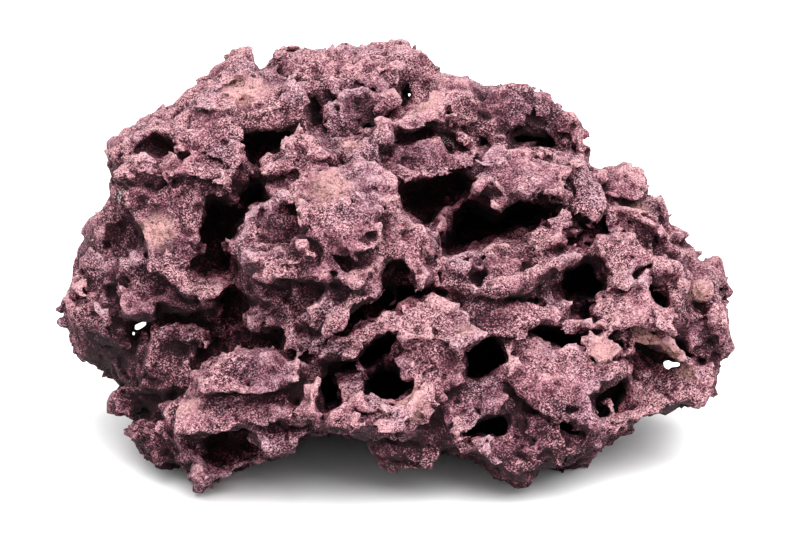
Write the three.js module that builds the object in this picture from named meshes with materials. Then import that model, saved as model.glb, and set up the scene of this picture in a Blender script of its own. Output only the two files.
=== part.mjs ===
// Aquarium reef rock: one lump of porous reef limestone with lobes, ledges, caves and an arch at its foot.
// The rock is first a field that is negative inside. Its lobes and hollows are outlines on a front sheet,
// as the rock looks from the front and a little from above, and each has a depth along the line of sight.
// The field is sampled on a grid, turned into triangles and thinned to a faceted stone.
// Units are millimetres and +Z is up. The length runs along X and the front faces -Y.
// The origin is the middle of the rock's box, on the surface that it stands on.
import * as THREE from "three";
import { ImprovedNoise } from "three/addons/math/ImprovedNoise.js";
import { MarchingCubes } from "three/addons/objects/MarchingCubes.js";
import { mergeVertices } from "three/addons/utils/BufferGeometryUtils.js";

// Driving dimensions
const ROCK_LENGTH = 300;
const BACK_REACH = 70; // from the rim to the back, at mid height
const BACK_LEAN = 0.35; // the back reaches further by this much for each millimetre downwards
const FRONT_REACH = 24; // from the rim to the bare front between the lobes
const BACK_ROUND = 48; // how far in from the rim the back curves
const FRONT_ROUND = 30;
const RIM_LEAN = 0.24; // the rim leans back by this much for each millimetre upwards
const FLOOR_LEVEL = -84; // the standing surface, below the middle of the front sheet

// The front sheet, in its own units, and how it is seen
const SHEET_MIDDLE = { x: 400, y: 266.5 };
const SHEET_ROCK_LENGTH = 667;
const UNIT = ROCK_LENGTH / SHEET_ROCK_LENGTH;
const VIEW_TILT = THREE.MathUtils.degToRad(15);
const VIEW_DISTANCE = 1000;

// How lobes, hollows and the surface blend
const LOBE_FLARE = 0.22; // a lobe widens by this much for each millimetre behind its face
const LOBE_FLARE_DEPTH = 50;
const LOBE_ROOT = 34; // lobes end this far behind the rim, inside the rock
const LOBE_BLEND = 5;
const HOLLOW_TAPER = 0.1; // a hollow narrows by this much for each millimetre into the rock
const HOLLOW_ROUND = 7;
const HOLLOW_SPARE = 1.6; // what blending takes off a hollow's width, put on beforehand
const HOLLOW_BLEND = 2;
const FAR = 45; // sheet units beyond which an outline's own shape no longer matters
const RIM_SPARE = 3; // what wear takes off the rim, put on beforehand
const WEAR = [
  // each wears round pits between crests that stay
  { size: 42, depth: 9 },
  { size: 19, depth: 6.5 },
  { size: 9.5, depth: 2.6 },
];
const FRONT_WEAR = 0.85; // share of the wear on the front, against all of it on the back
const WEAR_FADE = 45; // from the rim back to full wear
const HOLLOW_RAGGED = { size: 11, reach: 2.2 };

// Grid and facets
const CLEAR = 12; // a point this far outside needs no closer look
const DEEPEST = 140;
const GRID = 124;
const GRID_HALF = 160;
const MOST_TRIANGLES = 400000; // of the surface before it is thinned
const NEAR_ZERO = 1e-3; // the field keeps this far from zero at the grid's points
const FACETS = 9700;
const FLAT = 0.6; // corners this close to the standing surface are ground flat
const LEAST_TURN = 0.25; // cosine of the most that thinning may turn a facet
const LEAST_SOLVABLE = 1e-4; // below this an edge's middle is taken as a corner's best place
const TINY = 1e-9;

const { clamp, lerp } = THREE.MathUtils;
const perlin = new ImprovedNoise();
const noiseAt = (size, x, y, z) => perlin.noise(x / size, y / size, z / size);
const length2 = (a, b) => Math.sqrt(a * a + b * b);
const length3 = (a, b, c) => Math.sqrt(a * a + b * b + c * c);
const smoothMin = (a, b, reach) => Math.min(a, b) - Math.max(reach - Math.abs(a - b), 0) ** 2 / (4 * reach);
const smoothMax = (a, b, reach) => -smoothMin(-a, -b, reach);

// A closed outline on the sheet, written as "x,y x,y ...".
class Outline {
  constructor(text) {
    this.points = text.trim().split(/\s+/).map((pair) => pair.split(",").map(Number));
    const xs = this.points.map(([x]) => x);
    const ys = this.points.map(([, y]) => y);
    this.box = [Math.min(...xs), Math.min(...ys), Math.max(...xs), Math.max(...ys)];
    this.middle = { x: (this.box[0] + this.box[2]) / 2, y: (this.box[1] + this.box[3]) / 2 };
  }

  // Distance to the outline in sheet units, negative inside.
  distance(x, y) {
    const [x0, y0, x1, y1] = this.box;
    const aside = length2(Math.max(x0 - x, 0, x - x1), Math.max(y0 - y, 0, y - y1));
    if (aside > FAR) return aside;
    let nearest = Infinity;
    let inside = false;
    let [ax, ay] = this.points[this.points.length - 1];
    for (const [bx, by] of this.points) {
      const ex = bx - ax;
      const ey = by - ay;
      const along = clamp(((x - ax) * ex + (y - ay) * ey) / (ex * ex + ey * ey), 0, 1);
      nearest = Math.min(nearest, length2(x - ax - ex * along, y - ay - ey * along));
      if (ay > y !== by > y && x < ax + (ex * (y - ay)) / ey) inside = !inside;
      ax = bx;
      ay = by;
    }
    return inside ? -nearest : nearest;
  }
}

const SILHOUETTE = new Outline(`
  109,200 112,183 117,179 109,160 110,143 125,136 146,119 168,108 180,104 200,82 228,61 236,54 248,54 258,73
  264,72 271,55 302,44 329,51 332,43 366,46 404,42 420,48 425,65 441,73 468,74 480,97 495,88 530,89 548,99
  552,110 571,112 581,123 588,150 586,169 596,174 628,167 645,177 641,197 664,202 668,225 684,234 675,243
  693,249 705,262 719,254 725,275 726,327 733,350 719,366 714,394 690,398 665,409 642,414 634,426 615,436
  592,454 562,469 547,463 531,469 522,482 497,474 476,459 448,453 433,461 388,462 373,454 367,435 330,430
  295,436 288,449 250,465 222,481 213,479 199,492 190,480 188,465 160,466 141,449 129,432 143,417 127,416
  111,405 124,384 100,366 77,355 67,326 66,301 80,262 91,221 103,213`);

// Lobes on the front. The depth is that of the face at the middle of the outline, along the line of sight
// and negative towards the viewer. The face falls back upwards and to the right by the two leans, and its
// edge is round.
function lobe(depth, { up = 0, right = 0, edge = 12 }, text) {
  return { depth, up, right, edge, outline: new Outline(text) };
}

const LOBES = [
  // Upper left shoulder and the wall of the left side
  lobe(-34, { up: 0.85, right: -0.1 }, `112,150 146,121 185,98 228,62 248,56 258,76 290,80 307,92 305,128
    262,133 236,135 248,166 230,198 170,188 113,180`),
  lobe(-45, { up: 0.15, right: -0.75 }, `113,178 205,197 194,232 199,244 189,276 226,286 208,306 150,305
    118,318 72,280 91,222 108,210`),
  lobe(-33, { up: -0.8, right: -0.35 }, `68,302 104,312 150,322 205,338 214,362 204,386 150,398 124,382
    82,360`),
  lobe(-42, { up: 0.6, edge: 8 }, `262,166 285,142 300,131 320,137 332,148 372,134 374,158 345,166 312,168
    275,182`),
  // Lower left boulder, its brow, its curl and its feet
  lobe(-74, { up: 0.6, edge: 15 }, `225,350 265,348 302,352 320,362 322,388 312,412 288,446 262,440 240,428
    178,430 182,405 205,392 213,368`),
  lobe(-90, { up: 0.8, edge: 9 }, `208,386 222,360 265,349 300,366 296,382 262,388 230,388`),
  lobe(-86, { edge: 7 }, `274,408 300,402 304,382 318,378 320,396 312,414 292,422`),
  lobe(-20, {}, `112,404 124,386 150,394 144,416 124,416`),
  lobe(-36, { up: 0.3 }, `130,432 144,418 178,428 192,462 160,466 142,449`),
  lobe(-66, { edge: 7 }, `190,454 212,448 214,478 199,491 190,480`),
  lobe(-52, { up: 0.6, edge: 6 }, `210,458 222,466 288,444 250,464 222,480`),
  // The boss in the middle
  lobe(-66, { up: 0.3, edge: 18 }, `236,244 252,206 312,168 375,168 402,214 432,240 430,286 350,308 318,344
    285,350 250,320 240,285`),
  lobe(-82, { up: 1.2, right: 0.1 }, `277,195 312,168 375,168 396,198 388,218 350,248 305,240`),
  lobe(-80, { up: 0.2, right: -0.3, edge: 9 }, `233,243 250,206 270,203 302,214 300,245 330,270 300,281
    262,262`),
  lobe(-98, { up: 0.3 }, `264,263 296,246 340,270 382,262 384,288 350,308 322,296 300,281 275,281`),
  lobe(-96, { edge: 8 }, `322,298 346,300 350,312 332,326 314,320 309,304`),
  lobe(-78, { right: 0.4, edge: 9 }, `382,226 402,214 430,237 433,264 428,290 416,268 392,262`),
  lobe(-74, { edge: 9 }, `249,304 286,300 292,316 318,326 316,344 286,350 262,338`),
  // The bridge over the arch, its pillar and the curved ridge under it
  lobe(-78, { up: 0.9 }, `316,356 352,335 395,315 430,294 447,297 476,318 504,306 545,340 508,346 498,336
    466,352 455,364 430,346 398,342 392,333 352,358`),
  lobe(-82, { edge: 10 }, `396,340 448,345 452,366 428,395 412,386 394,368`),
  lobe(-90, { up: 0.4, edge: 10 }, `318,416 360,399 392,406 414,392 446,398 430,414 400,432 322,431`),
  lobe(-80, { edge: 9 }, `334,380 356,374 364,398 340,400`),
  lobe(-70, { up: 0.1, edge: 14 }, `430,396 452,376 506,372 518,396 560,418 598,446 562,468 524,480 470,454
    390,461 370,436 402,432`),
  lobe(-80, { up: 0.5, edge: 8 }, `437,434 456,414 482,401 506,406 500,416 462,436`),
  // Lower right slab and the column above it
  lobe(-56, { up: 0.15, right: 0.65 }, `507,344 520,334 562,352 600,336 630,350 690,362 716,372 713,392
    665,408 640,418 598,446 560,417 520,396`),
  lobe(-66, { up: 0.3, edge: 7 }, `586,350 592,340 604,336 617,344 617,356 604,363 590,360`),
  lobe(-57, { up: 0.3 }, `558,300 604,296 606,276 650,262 670,272 648,288 672,312 640,346 588,338 560,326`),
  lobe(-50, { up: 0.9 }, `592,240 612,230 642,238 656,256 640,272 606,272`),
  lobe(-17, { right: 0.4 }, `652,256 690,249 720,257 726,330 732,350 716,368 680,358 668,308 648,282`),
  lobe(-30, { edge: 6 }, `656,268 668,262 682,268 684,284 670,294 656,288`),
  lobe(-26, { edge: 5 }, `688,286 700,278 712,284 713,298 702,304 690,300`),
  // Ledges between the boss and the column, as steps that climb to the right
  lobe(-54, { up: 0.9, right: 0.1 }, `440,262 500,246 560,228 600,238 596,258 560,272 536,296 492,300
    438,292`),
  lobe(-50, { up: 0.5, edge: 5 }, `438,262 490,250 540,226 562,213 568,222 546,236 500,256 446,272`),
  lobe(-66, { up: 0.4, edge: 5 }, `446,284 500,280 548,262 596,246 598,256 562,270 530,288 490,294`),
  lobe(-64, { up: 0.5, edge: 8 }, `440,292 500,300 560,300 566,330 520,334 478,318`),
  // Plateau over the big cave
  lobe(-28, { up: 1.05 }, `330,150 378,122 392,140 470,152 540,156 586,165 602,206 560,214 474,190 440,172
    396,190 372,168 340,164`),
  lobe(-52, { up: 0.75, right: 0.15 }, `478,182 505,165 586,165 602,182 604,208 574,216 562,200 512,204
    497,213`),
  // The crown and the right shoulder
  lobe(-15, { up: 0.6, right: 0.1, edge: 9 }, `389,130 402,112 428,94 441,78 468,75 479,92 470,126 450,144
    420,130`),
  lobe(4, { up: 0.5 }, `266,64 302,46 330,50 404,43 424,50 428,92 400,112 378,124 332,142 308,92 270,82`),
  lobe(17, { up: 0.3 }, `479,98 530,89 552,110 580,122 587,166 530,152 480,140`),
  lobe(6, { up: 0.6, edge: 7 }, `482,98 504,88 532,90 552,110 580,121 572,138 545,128 500,118`),
  lobe(4, { edge: 9 }, `600,173 628,168 646,178 640,198 604,197`),
  lobe(-2, { up: 0.4, edge: 8 }, `610,200 663,203 669,224 650,226 620,212`),
  lobe(-24, { up: 0.8 }, `602,206 640,213 676,244 692,250 656,256 612,230`),
];

// Hollows, drilled along the line of sight to the given depth.
const hollow = (to, text) => ({ to, outline: new Outline(text) });

const HOLLOWS = [
  // Left side
  hollow(8, `205,198 230,205 244,190 262,183 270,203 250,205 246,222 231,244 231,272 204,280 188,270 199,244
    194,232`),
  hollow(-2, `236,135 262,133 290,130 282,150 262,166 247,163`),
  hollow(-14, `141,146 155,133 174,152 160,159`),
  hollow(-20, `103,245 115,222 130,218 145,240 128,257 108,256`),
  hollow(-20, `222,292 236,286 248,303 246,313 220,324`),
  hollow(-28, `200,338 232,328 281,332 280,350 225,350 201,366`),
  hollow(-16, `130,322 147,321 148,336 133,344`),
  // Crown
  hollow(26, `305,94 316,93 325,130 312,132`),
  hollow(22, `394,76 408,73 417,98 400,112`),
  hollow(30, `466,152 476,134 492,139 488,150`),
  hollow(30, `500,128 545,130 574,144 556,155 508,146`),
  // Boss
  hollow(-60, `262,284 305,279 320,290 296,318 284,300 256,292`),
  hollow(-40, `386,262 414,262 420,288 388,290`),
  hollow(-18, `322,336 362,309 386,288 420,291 362,322 338,339`),
  // Central cave, in two chambers
  hollow(14, `394,190 412,179 460,168 474,182 470,194 446,212 431,232 402,212`),
  hollow(38, `440,252 448,216 470,198 497,214 518,199 564,202 540,226 500,243 450,258`),
  // Right side
  hollow(14, `557,290 568,270 592,262 604,284 600,296 566,299`),
  hollow(-12, `566,312 577,302 597,309 588,321`),
  hollow(-18, `531,333 568,332 580,349 548,344`),
  hollow(-22, `555,233 598,223 594,240 572,245`),
  hollow(-6, `647,284 670,304 666,312 650,300`),
  hollow(-14, `636,345 650,338 676,344 688,358 670,370 644,353`),
  hollow(-24, `588,406 624,380 625,392 597,417`),
  // Bridge and underside
  hollow(12, `330,370 356,360 372,341 394,333 397,350 360,368`),
  hollow(0, `362,390 384,368 415,388 392,403`),
  hollow(-16, `318,386 330,378 341,406 330,411`),
  hollow(20, `462,372 467,352 497,335 508,360 492,373 470,378`),
  hollow(-30, `459,431 480,422 503,418 502,432 470,436`),
  hollow(-24, `205,440 244,428 262,448 222,466 208,460`),
];

// Hollows that come in from behind, from the back of the rock forwards to the given depth, where only a
// thin wall is left to a hollow of the front.
const BACK_HOLLOWS = [
  hollow(-10, `122,322 136,312 152,318 156,334 142,348 124,342`),
  hollow(-8, `656,356 670,348 686,356 688,370 674,380 658,374`),
  hollow(28, `396,90 406,80 420,86 424,100 412,110 400,104`),
];

// Rounded lumps and pits of the side that the sheet doesn't show, spread on a spiral over the back
const BACK_LUMPS = { count: 34, least: 12, most: 30, sink: 8, spread: 0.98, turn: 0.4 };
const BACK_PITS = { count: 30, least: 8, most: 19, sink: -1, spread: 0.94, turn: 2.1 };
const BACK_SWIRL = { size: 30, reach: 16 }; // how the lumps and pits are bent out of round
const SPIRAL_HEIGHT = 448; // sheet units from the lowest to the highest of them
const SPIRAL_STEP = Math.PI * (3 - Math.sqrt(5));
const RADIUS_STEP = 7.3; // radians of the wave that varies their radius, from one to the next
// The feet at the back and the vault between all the feet, as centres and radii in the rock's own directions
const BACK_FEET = [
  { middle: [-74, 46, FLOOR_LEVEL + 6], radii: [30, 30, 22] },
  { middle: [-14, 62, FLOOR_LEVEL + 6], radii: [24, 24, 20] },
  { middle: [62, 40, FLOOR_LEVEL + 6], radii: [36, 30, 22] },
];
const FOOT_BLEND = 16;
const VAULT = { middle: [-6, 4, FLOOR_LEVEL], radii: [66, 40, 20] };

// Where a point is on the sheet, its depth along the line of sight and the millimetres in a sheet unit there.
function toSheet(x, y, z) {
  const depth = y * Math.cos(VIEW_TILT) - z * Math.sin(VIEW_TILT);
  const height = z * Math.cos(VIEW_TILT) + y * Math.sin(VIEW_TILT);
  const unit = UNIT * (1 + depth / VIEW_DISTANCE);
  return { x: SHEET_MIDDLE.x + x / unit, y: SHEET_MIDDLE.y - height / unit, depth, unit };
}

const heightOf = (sheetY) => (SHEET_MIDDLE.y - sheetY) * UNIT;
const rimDepth = (sheetY) => RIM_LEAN * heightOf(sheetY);
const backReach = (sheetY) => BACK_REACH - BACK_LEAN * heightOf(sheetY);

function coreField({ x, y, depth, unit }) {
  const inset = RIM_SPARE - SILHOUETTE.distance(x, y) * unit;
  const behind = depth - rimDepth(y);
  const round = behind > 0 ? BACK_ROUND : FRONT_ROUND;
  const reach = behind > 0 ? backReach(y) : FRONT_REACH;
  const curve = Math.max(0, 1 - inset / round);
  return (length2(curve, behind / reach) - 1) * Math.min(round, reach);
}

function lobeField({ depth, up, right, edge, outline }, at) {
  const rise = (outline.middle.y - at.y) * at.unit;
  const run = (at.x - outline.middle.x) * at.unit;
  const behind = at.depth - (depth + up * rise + right * run);
  const flare = LOBE_FLARE * clamp(behind, 0, LOBE_FLARE_DEPTH);
  const aside = outline.distance(at.x, at.y) * at.unit - flare;
  const curve = length2(Math.max(0, 1 + aside / edge), Math.max(0, 1 - behind / edge));
  return Math.max((curve - 1) * edge, at.depth - rimDepth(at.y) - LOBE_ROOT);
}

function hollowField({ to, outline }, at) {
  const taper = HOLLOW_TAPER * Math.max(0, at.depth + LOBE_ROOT);
  const aside = outline.distance(at.x, at.y) * at.unit + taper - HOLLOW_SPARE;
  return smoothMax(aside, at.depth - to, HOLLOW_ROUND);
}

function backHollowField({ to, outline }, at) {
  const flare = HOLLOW_TAPER * Math.max(0, at.depth - to);
  const aside = outline.distance(at.x, at.y) * at.unit - flare;
  return smoothMax(aside, to - at.depth, HOLLOW_ROUND);
}

// Balls spread over the back: golden-angle spiral on the sheet, each centred on the curve of the back.
function backBalls({ count, least, most, sink, spread, turn }) {
  return Array.from({ length: count }, (_, i) => {
    const angle = i * SPIRAL_STEP + turn;
    const out = (spread * Math.sqrt((i + 0.5) / count)) / 2;
    const x = SHEET_MIDDLE.x + out * Math.cos(angle) * SHEET_ROCK_LENGTH;
    const y = SHEET_MIDDLE.y + out * Math.sin(angle) * SPIRAL_HEIGHT;
    const inset = clamp(-SILHOUETTE.distance(x, y) * UNIT, 0, BACK_ROUND);
    const curve = 1 - inset / BACK_ROUND;
    const depth = rimDepth(y) + backReach(y) * Math.sqrt(1 - curve * curve) - sink;
    const radius = lerp(least, most, 0.5 + 0.5 * Math.sin(i * RADIUS_STEP + turn));
    return { x, y, depth, radius };
  });
}

function ellipsoidField({ middle, radii }, x, y, z) {
  const out = length3((x - middle[0]) / radii[0], (y - middle[1]) / radii[1], (z - middle[2]) / radii[2]);
  return (out - 1) * Math.min(...radii);
}

const ballField = (ball, at) =>
  length3((at.x - ball.x) * at.unit, (at.y - ball.y) * at.unit, at.depth - ball.depth) - ball.radius;

const backLumps = backBalls(BACK_LUMPS);
const backPits = backBalls(BACK_PITS);

// The same place on the sheet, pushed about by slow noise.
function swirled(at, x, y, z) {
  const { size, reach } = BACK_SWIRL;
  const push = (shift) => reach * noiseAt(size, x + shift * size, y - shift * size, z + shift * size);
  const { depth, unit } = at;
  return { x: at.x + push(3) / unit, y: at.y + push(7) / unit, depth: depth + push(11), unit };
}

// How much the surface is worn down at a point.
function wear(at, x, y, z) {
  const share = lerp(FRONT_WEAR, 1, clamp((at.depth - rimDepth(at.y)) / WEAR_FADE, 0, 1));
  let worn = 0;
  for (const { size, depth } of WEAR) worn += depth * Math.abs(noiseAt(size, x, y, z));
  return share * worn;
}

// The rock's field at a point: negative inside.
function rockField(x, y, z) {
  const at = toSheet(x, y, z);
  const rim = SILHOUETTE.distance(at.x, at.y) * at.unit - RIM_SPARE;
  if (Math.max(rim, FLOOR_LEVEL - z) > CLEAR || Math.abs(at.depth) > DEEPEST) return CLEAR;
  const bent = swirled(at, x, y, z);
  let field = coreField(at);
  for (const form of LOBES) field = smoothMin(field, lobeField(form, at), LOBE_BLEND);
  for (const ball of backLumps) field = smoothMin(field, ballField(ball, bent), LOBE_BLEND);
  field = smoothMax(field, rim, LOBE_BLEND);
  for (const foot of BACK_FEET) field = smoothMin(field, ellipsoidField(foot, x, y, z), FOOT_BLEND);
  field += wear(at, x, y, z);
  for (const ball of backPits) field = smoothMax(field, -ballField(ball, bent), LOBE_BLEND);
  const ragged = HOLLOW_RAGGED.reach * noiseAt(HOLLOW_RAGGED.size, x, y, z);
  for (const form of HOLLOWS) field = smoothMax(field, ragged - hollowField(form, at), HOLLOW_BLEND);
  for (const form of BACK_HOLLOWS) field = smoothMax(field, ragged - backHollowField(form, at), HOLLOW_BLEND);
  field = smoothMax(field, -ellipsoidField(VAULT, x, y, z), LOBE_BLEND);
  return Math.max(field, FLOOR_LEVEL - z);
}

// Triangles of the surface where the field is zero.
function surface(field) {
  const cubes = new MarchingCubes(GRID, new THREE.MeshBasicMaterial(), false, false, MOST_TRIANGLES);
  const step = (2 * GRID_HALF) / GRID;
  for (let i = 0; i < cubes.field.length; i++) {
    const x = (i % GRID) * step - GRID_HALF;
    const y = (Math.floor(i / GRID) % GRID) * step - GRID_HALF;
    const z = Math.floor(i / GRID / GRID) * step - GRID_HALF;
    const value = field(x, y, z);
    cubes.field[i] = Math.abs(value) < NEAR_ZERO ? -NEAR_ZERO : -value;
  }
  cubes.isolation = 0;
  cubes.update();
  const soup = new THREE.BufferGeometry();
  const corners = cubes.positionArray.slice(0, cubes.count * 3);
  soup.setAttribute("position", new THREE.BufferAttribute(corners.map((v) => v * GRID_HALF), 3));
  return mergeVertices(soup, NEAR_ZERO);
}

// The triangles of the largest connected shell.
function largestShell(index, vertexCount) {
  const root = Int32Array.from({ length: vertexCount }, (_, i) => i);
  const find = (i) => {
    while (root[i] !== i) i = root[i] = root[root[i]];
    return i;
  };
  for (let t = 0; t < index.length; t += 3) {
    root[find(index[t + 1])] = find(index[t]);
    root[find(index[t + 2])] = find(index[t]);
  }
  const sizes = new Map();
  for (let t = 0; t < index.length; t += 3) {
    const shell = find(index[t]);
    sizes.set(shell, (sizes.get(shell) ?? 0) + 1);
  }
  const [largest] = [...sizes].reduce((a, b) => (b[1] > a[1] ? b : a));
  const kept = [];
  for (let t = 0; t < index.length; t += 3) {
    if (find(index[t]) === largest) kept.push([index[t], index[t + 1], index[t + 2]]);
  }
  return kept;
}

// A lowest-first queue of edges.
class EdgeQueue {
  constructor() {
    this.items = [];
  }

  push(item) {
    const { items } = this;
    let at = items.length;
    items.push(item);
    while (at > 0) {
      const above = (at - 1) >> 1;
      if (items[above].cost <= item.cost) break;
      items[at] = items[above];
      at = above;
    }
    items[at] = item;
  }

  pop() {
    const { items } = this;
    const lowest = items[0];
    const last = items.pop();
    if (items.length === 0) return lowest;
    let at = 0;
    for (;;) {
      let below = 2 * at + 1;
      if (below >= items.length) break;
      if (below + 1 < items.length && items[below + 1].cost < items[below].cost) below += 1;
      if (items[below].cost >= last.cost) break;
      items[at] = items[below];
      at = below;
    }
    items[at] = last;
    return lowest;
  }
}

// Thins a closed mesh to about the given number of triangles by edge collapse with quadric errors.
function thin(points, triangles, target) {
  const faces = triangles.map((t) => t.slice());
  const around = points.map(() => new Set());
  const quadrics = points.map(() => new Float64Array(10));
  const stamps = new Int32Array(points.length);
  const a = new THREE.Vector3();
  const b = new THREE.Vector3();
  const normalOf = (p, q, r) => {
    a.subVectors(q, p);
    b.subVectors(r, p);
    return new THREE.Vector3().crossVectors(a, b);
  };
  faces.forEach((face, f) => {
    const [p, q, r] = face.map((v) => points[v]);
    const normal = normalOf(p, q, r);
    const area = normal.length() || TINY;
    normal.divideScalar(area);
    const { x, y, z } = normal;
    const d = -normal.dot(p);
    const plane = [x * x, x * y, x * z, x * d, y * y, y * z, y * d, z * z, z * d, d * d];
    for (const v of face) {
      around[v].add(f);
      plane.forEach((value, k) => (quadrics[v][k] += value * area));
    }
  });
  const errorAt = (q, { x, y, z }) =>
    q[0] * x * x + 2 * q[1] * x * y + 2 * q[2] * x * z + 2 * q[3] * x + q[4] * y * y + 2 * q[5] * y * z +
    2 * q[6] * y + q[7] * z * z + 2 * q[8] * z + q[9];
  const matrix = new THREE.Matrix3();
  const bestPoint = (v, w, q) => {
    const middle = points[v].clone().lerp(points[w], 0.5);
    matrix.set(q[0], q[1], q[2], q[1], q[4], q[5], q[2], q[5], q[7]);
    const size = q[0] + q[4] + q[7];
    let best = middle;
    if (Math.abs(matrix.determinant()) > LEAST_SOLVABLE * size ** 3) {
      const solved = new THREE.Vector3(-q[3], -q[6], -q[8]).applyMatrix3(matrix.invert());
      if (solved.distanceTo(middle) < points[v].distanceTo(points[w])) best = solved;
    }
    return best;
  };
  const queue = new EdgeQueue();
  const offer = (v, w) => {
    const q = quadrics[v].map((value, k) => value + quadrics[w][k]);
    const point = bestPoint(v, w, q);
    queue.push({ cost: errorAt(q, point), v, w, point, vStamp: stamps[v], wStamp: stamps[w] });
  };
  const neighbours = (v) => {
    const found = new Set();
    for (const f of around[v]) faces[f].forEach((w) => w !== v && found.add(w));
    return found;
  };
  faces.forEach(([p, q, r]) => [[p, q], [q, r], [r, p]].forEach(([v, w]) => v < w && offer(v, w)));
  const turns = (v, w, point) => {
    for (const f of around[v]) {
      if (faces[f].includes(w)) continue;
      const corners = faces[f].map((u) => points[u]);
      const before = normalOf(...corners);
      const after = normalOf(...corners.map((c) => (c === points[v] ? point : c)));
      if (before.dot(after) < LEAST_TURN * before.length() * after.length()) return true;
    }
    return false;
  };
  let left = faces.length;
  while (left > target && queue.items.length) {
    const { v, w, point, vStamp, wStamp } = queue.pop();
    if (stamps[v] !== vStamp || stamps[w] !== wStamp) continue;
    const near = neighbours(w);
    const shared = [...neighbours(v)].filter((u) => near.has(u));
    if (shared.length !== 2 || turns(v, w, point) || turns(w, v, point)) continue;
    for (const f of [...around[w]]) {
      if (faces[f].includes(v)) {
        faces[f].forEach((u) => around[u].delete(f));
        faces[f] = null;
        left -= 1;
      } else {
        faces[f] = faces[f].map((u) => (u === w ? v : u));
        around[v].add(f);
      }
    }
    around[w].clear();
    points[v].copy(point);
    quadrics[w].forEach((value, k) => (quadrics[v][k] += value));
    stamps[w] = -1;
    stamps[v] += 1;
    for (const u of neighbours(v)) offer(Math.min(u, v), Math.max(u, v));
  }
  return faces.filter(Boolean);
}

// A geometry of the used points alone, moved so that its box stands on the origin, with a note of where
// the middle of the front sheet then lies.
function settled(points, faces) {
  const places = new Map();
  const corners = [];
  for (const v of faces.flat()) {
    if (places.has(v)) continue;
    places.set(v, places.size);
    const { x, y, z } = points[v];
    corners.push(x, y, z < FLOOR_LEVEL + FLAT ? FLOOR_LEVEL : z);
  }
  const geometry = new THREE.BufferGeometry();
  geometry.setAttribute("position", new THREE.Float32BufferAttribute(corners, 3));
  geometry.setIndex(faces.flat().map((v) => places.get(v)));
  geometry.computeBoundingBox();
  const middle = geometry.boundingBox.getCenter(new THREE.Vector3());
  geometry.translate(-middle.x, -middle.y, -FLOOR_LEVEL);
  geometry.computeVertexNormals();
  geometry.userData.sheetMiddle = [-middle.x, -middle.y, -FLOOR_LEVEL];
  return geometry;
}

function rockGeometry() {
  const rough = surface(rockField);
  const position = rough.getAttribute("position");
  const pointAt = (_, i) => new THREE.Vector3().fromBufferAttribute(position, i);
  const points = Array.from({ length: position.count }, pointAt);
  const shell = largestShell(rough.index.array, points.length);
  return settled(points, thin(points, shell, FACETS));
}

const crust = new THREE.MeshStandardMaterial({ color: 0x9a6a74, roughness: 0.9, flatShading: true });
const rock = new THREE.Mesh(rockGeometry(), crust);
rock.name = "reef_rock";

const reef = new THREE.Group();
reef.add(rock);

export default reef;
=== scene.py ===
"""Looks of the aquarium reef rock.

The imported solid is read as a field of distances. The rock's facets, ridges, hollows, holes, rubble and wear
are worked into that field, which then becomes one mesh under a coralline crust. The rock stands on a white
floor in soft light. Lengths are millimetres while the rock is shaped and metres in the scene.
"""

import logging
import math
from dataclasses import dataclass, field
from enum import Enum

import bpy
import numpy as np
import openvdb
from mathutils import Euler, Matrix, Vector


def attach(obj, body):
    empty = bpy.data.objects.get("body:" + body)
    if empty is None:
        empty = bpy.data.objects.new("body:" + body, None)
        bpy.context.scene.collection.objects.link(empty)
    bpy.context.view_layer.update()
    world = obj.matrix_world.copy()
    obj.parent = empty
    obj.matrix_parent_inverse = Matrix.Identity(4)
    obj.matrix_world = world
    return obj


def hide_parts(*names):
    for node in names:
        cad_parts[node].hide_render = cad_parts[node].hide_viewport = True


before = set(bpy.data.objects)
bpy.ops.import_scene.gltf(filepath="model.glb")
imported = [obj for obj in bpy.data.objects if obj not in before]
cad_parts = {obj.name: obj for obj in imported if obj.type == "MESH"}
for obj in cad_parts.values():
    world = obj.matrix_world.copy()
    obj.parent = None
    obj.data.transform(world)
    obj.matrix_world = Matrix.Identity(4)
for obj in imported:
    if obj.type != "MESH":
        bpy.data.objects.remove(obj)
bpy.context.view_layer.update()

log = logging.getLogger("reef_rock")

MM = 0.001
TINY = 1e-6  # keeps a division away from zero
LAST_CELL = 1.001  # back from the end of a row of grid points, so that each place has a next one


class Layer(Enum):
    """Values that the rock's corners carry for the crust's colour, among them those that its painted light
    and shade follow.
    """

    CREST = "crest"
    OPENNESS = "openness"
    UP = "up"
    SHADE = "shade"
    PALE = "pale"
    TAN = "tan"
    FLECK = "fleck"


def smooth_min(a: np.ndarray, b: np.ndarray, reach: float) -> np.ndarray:
    """The lower of two fields, rounded where they meet within the given reach."""
    return np.minimum(a, b) - np.maximum(reach - np.abs(a - b), 0.0) ** 2 / (4 * reach)


def smooth_max(a: np.ndarray, b: np.ndarray, reach: float) -> np.ndarray:
    """The higher of two fields, rounded where they meet within the given reach."""
    return -smooth_min(-a, -b, reach)


def smooth_step(low: float, high: float, values: np.ndarray) -> np.ndarray:
    """Rises from 0 at low to 1 at high without corners."""
    part = np.clip((values - low) / (high - low), 0.0, 1.0)
    return part * part * (3 - 2 * part)


def read_points(text: str) -> np.ndarray:
    """Sheet points written as "x,y x,y ..." as rows of two numbers."""
    return np.array([pair.split(",") for pair in text.split()], float)


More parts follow.
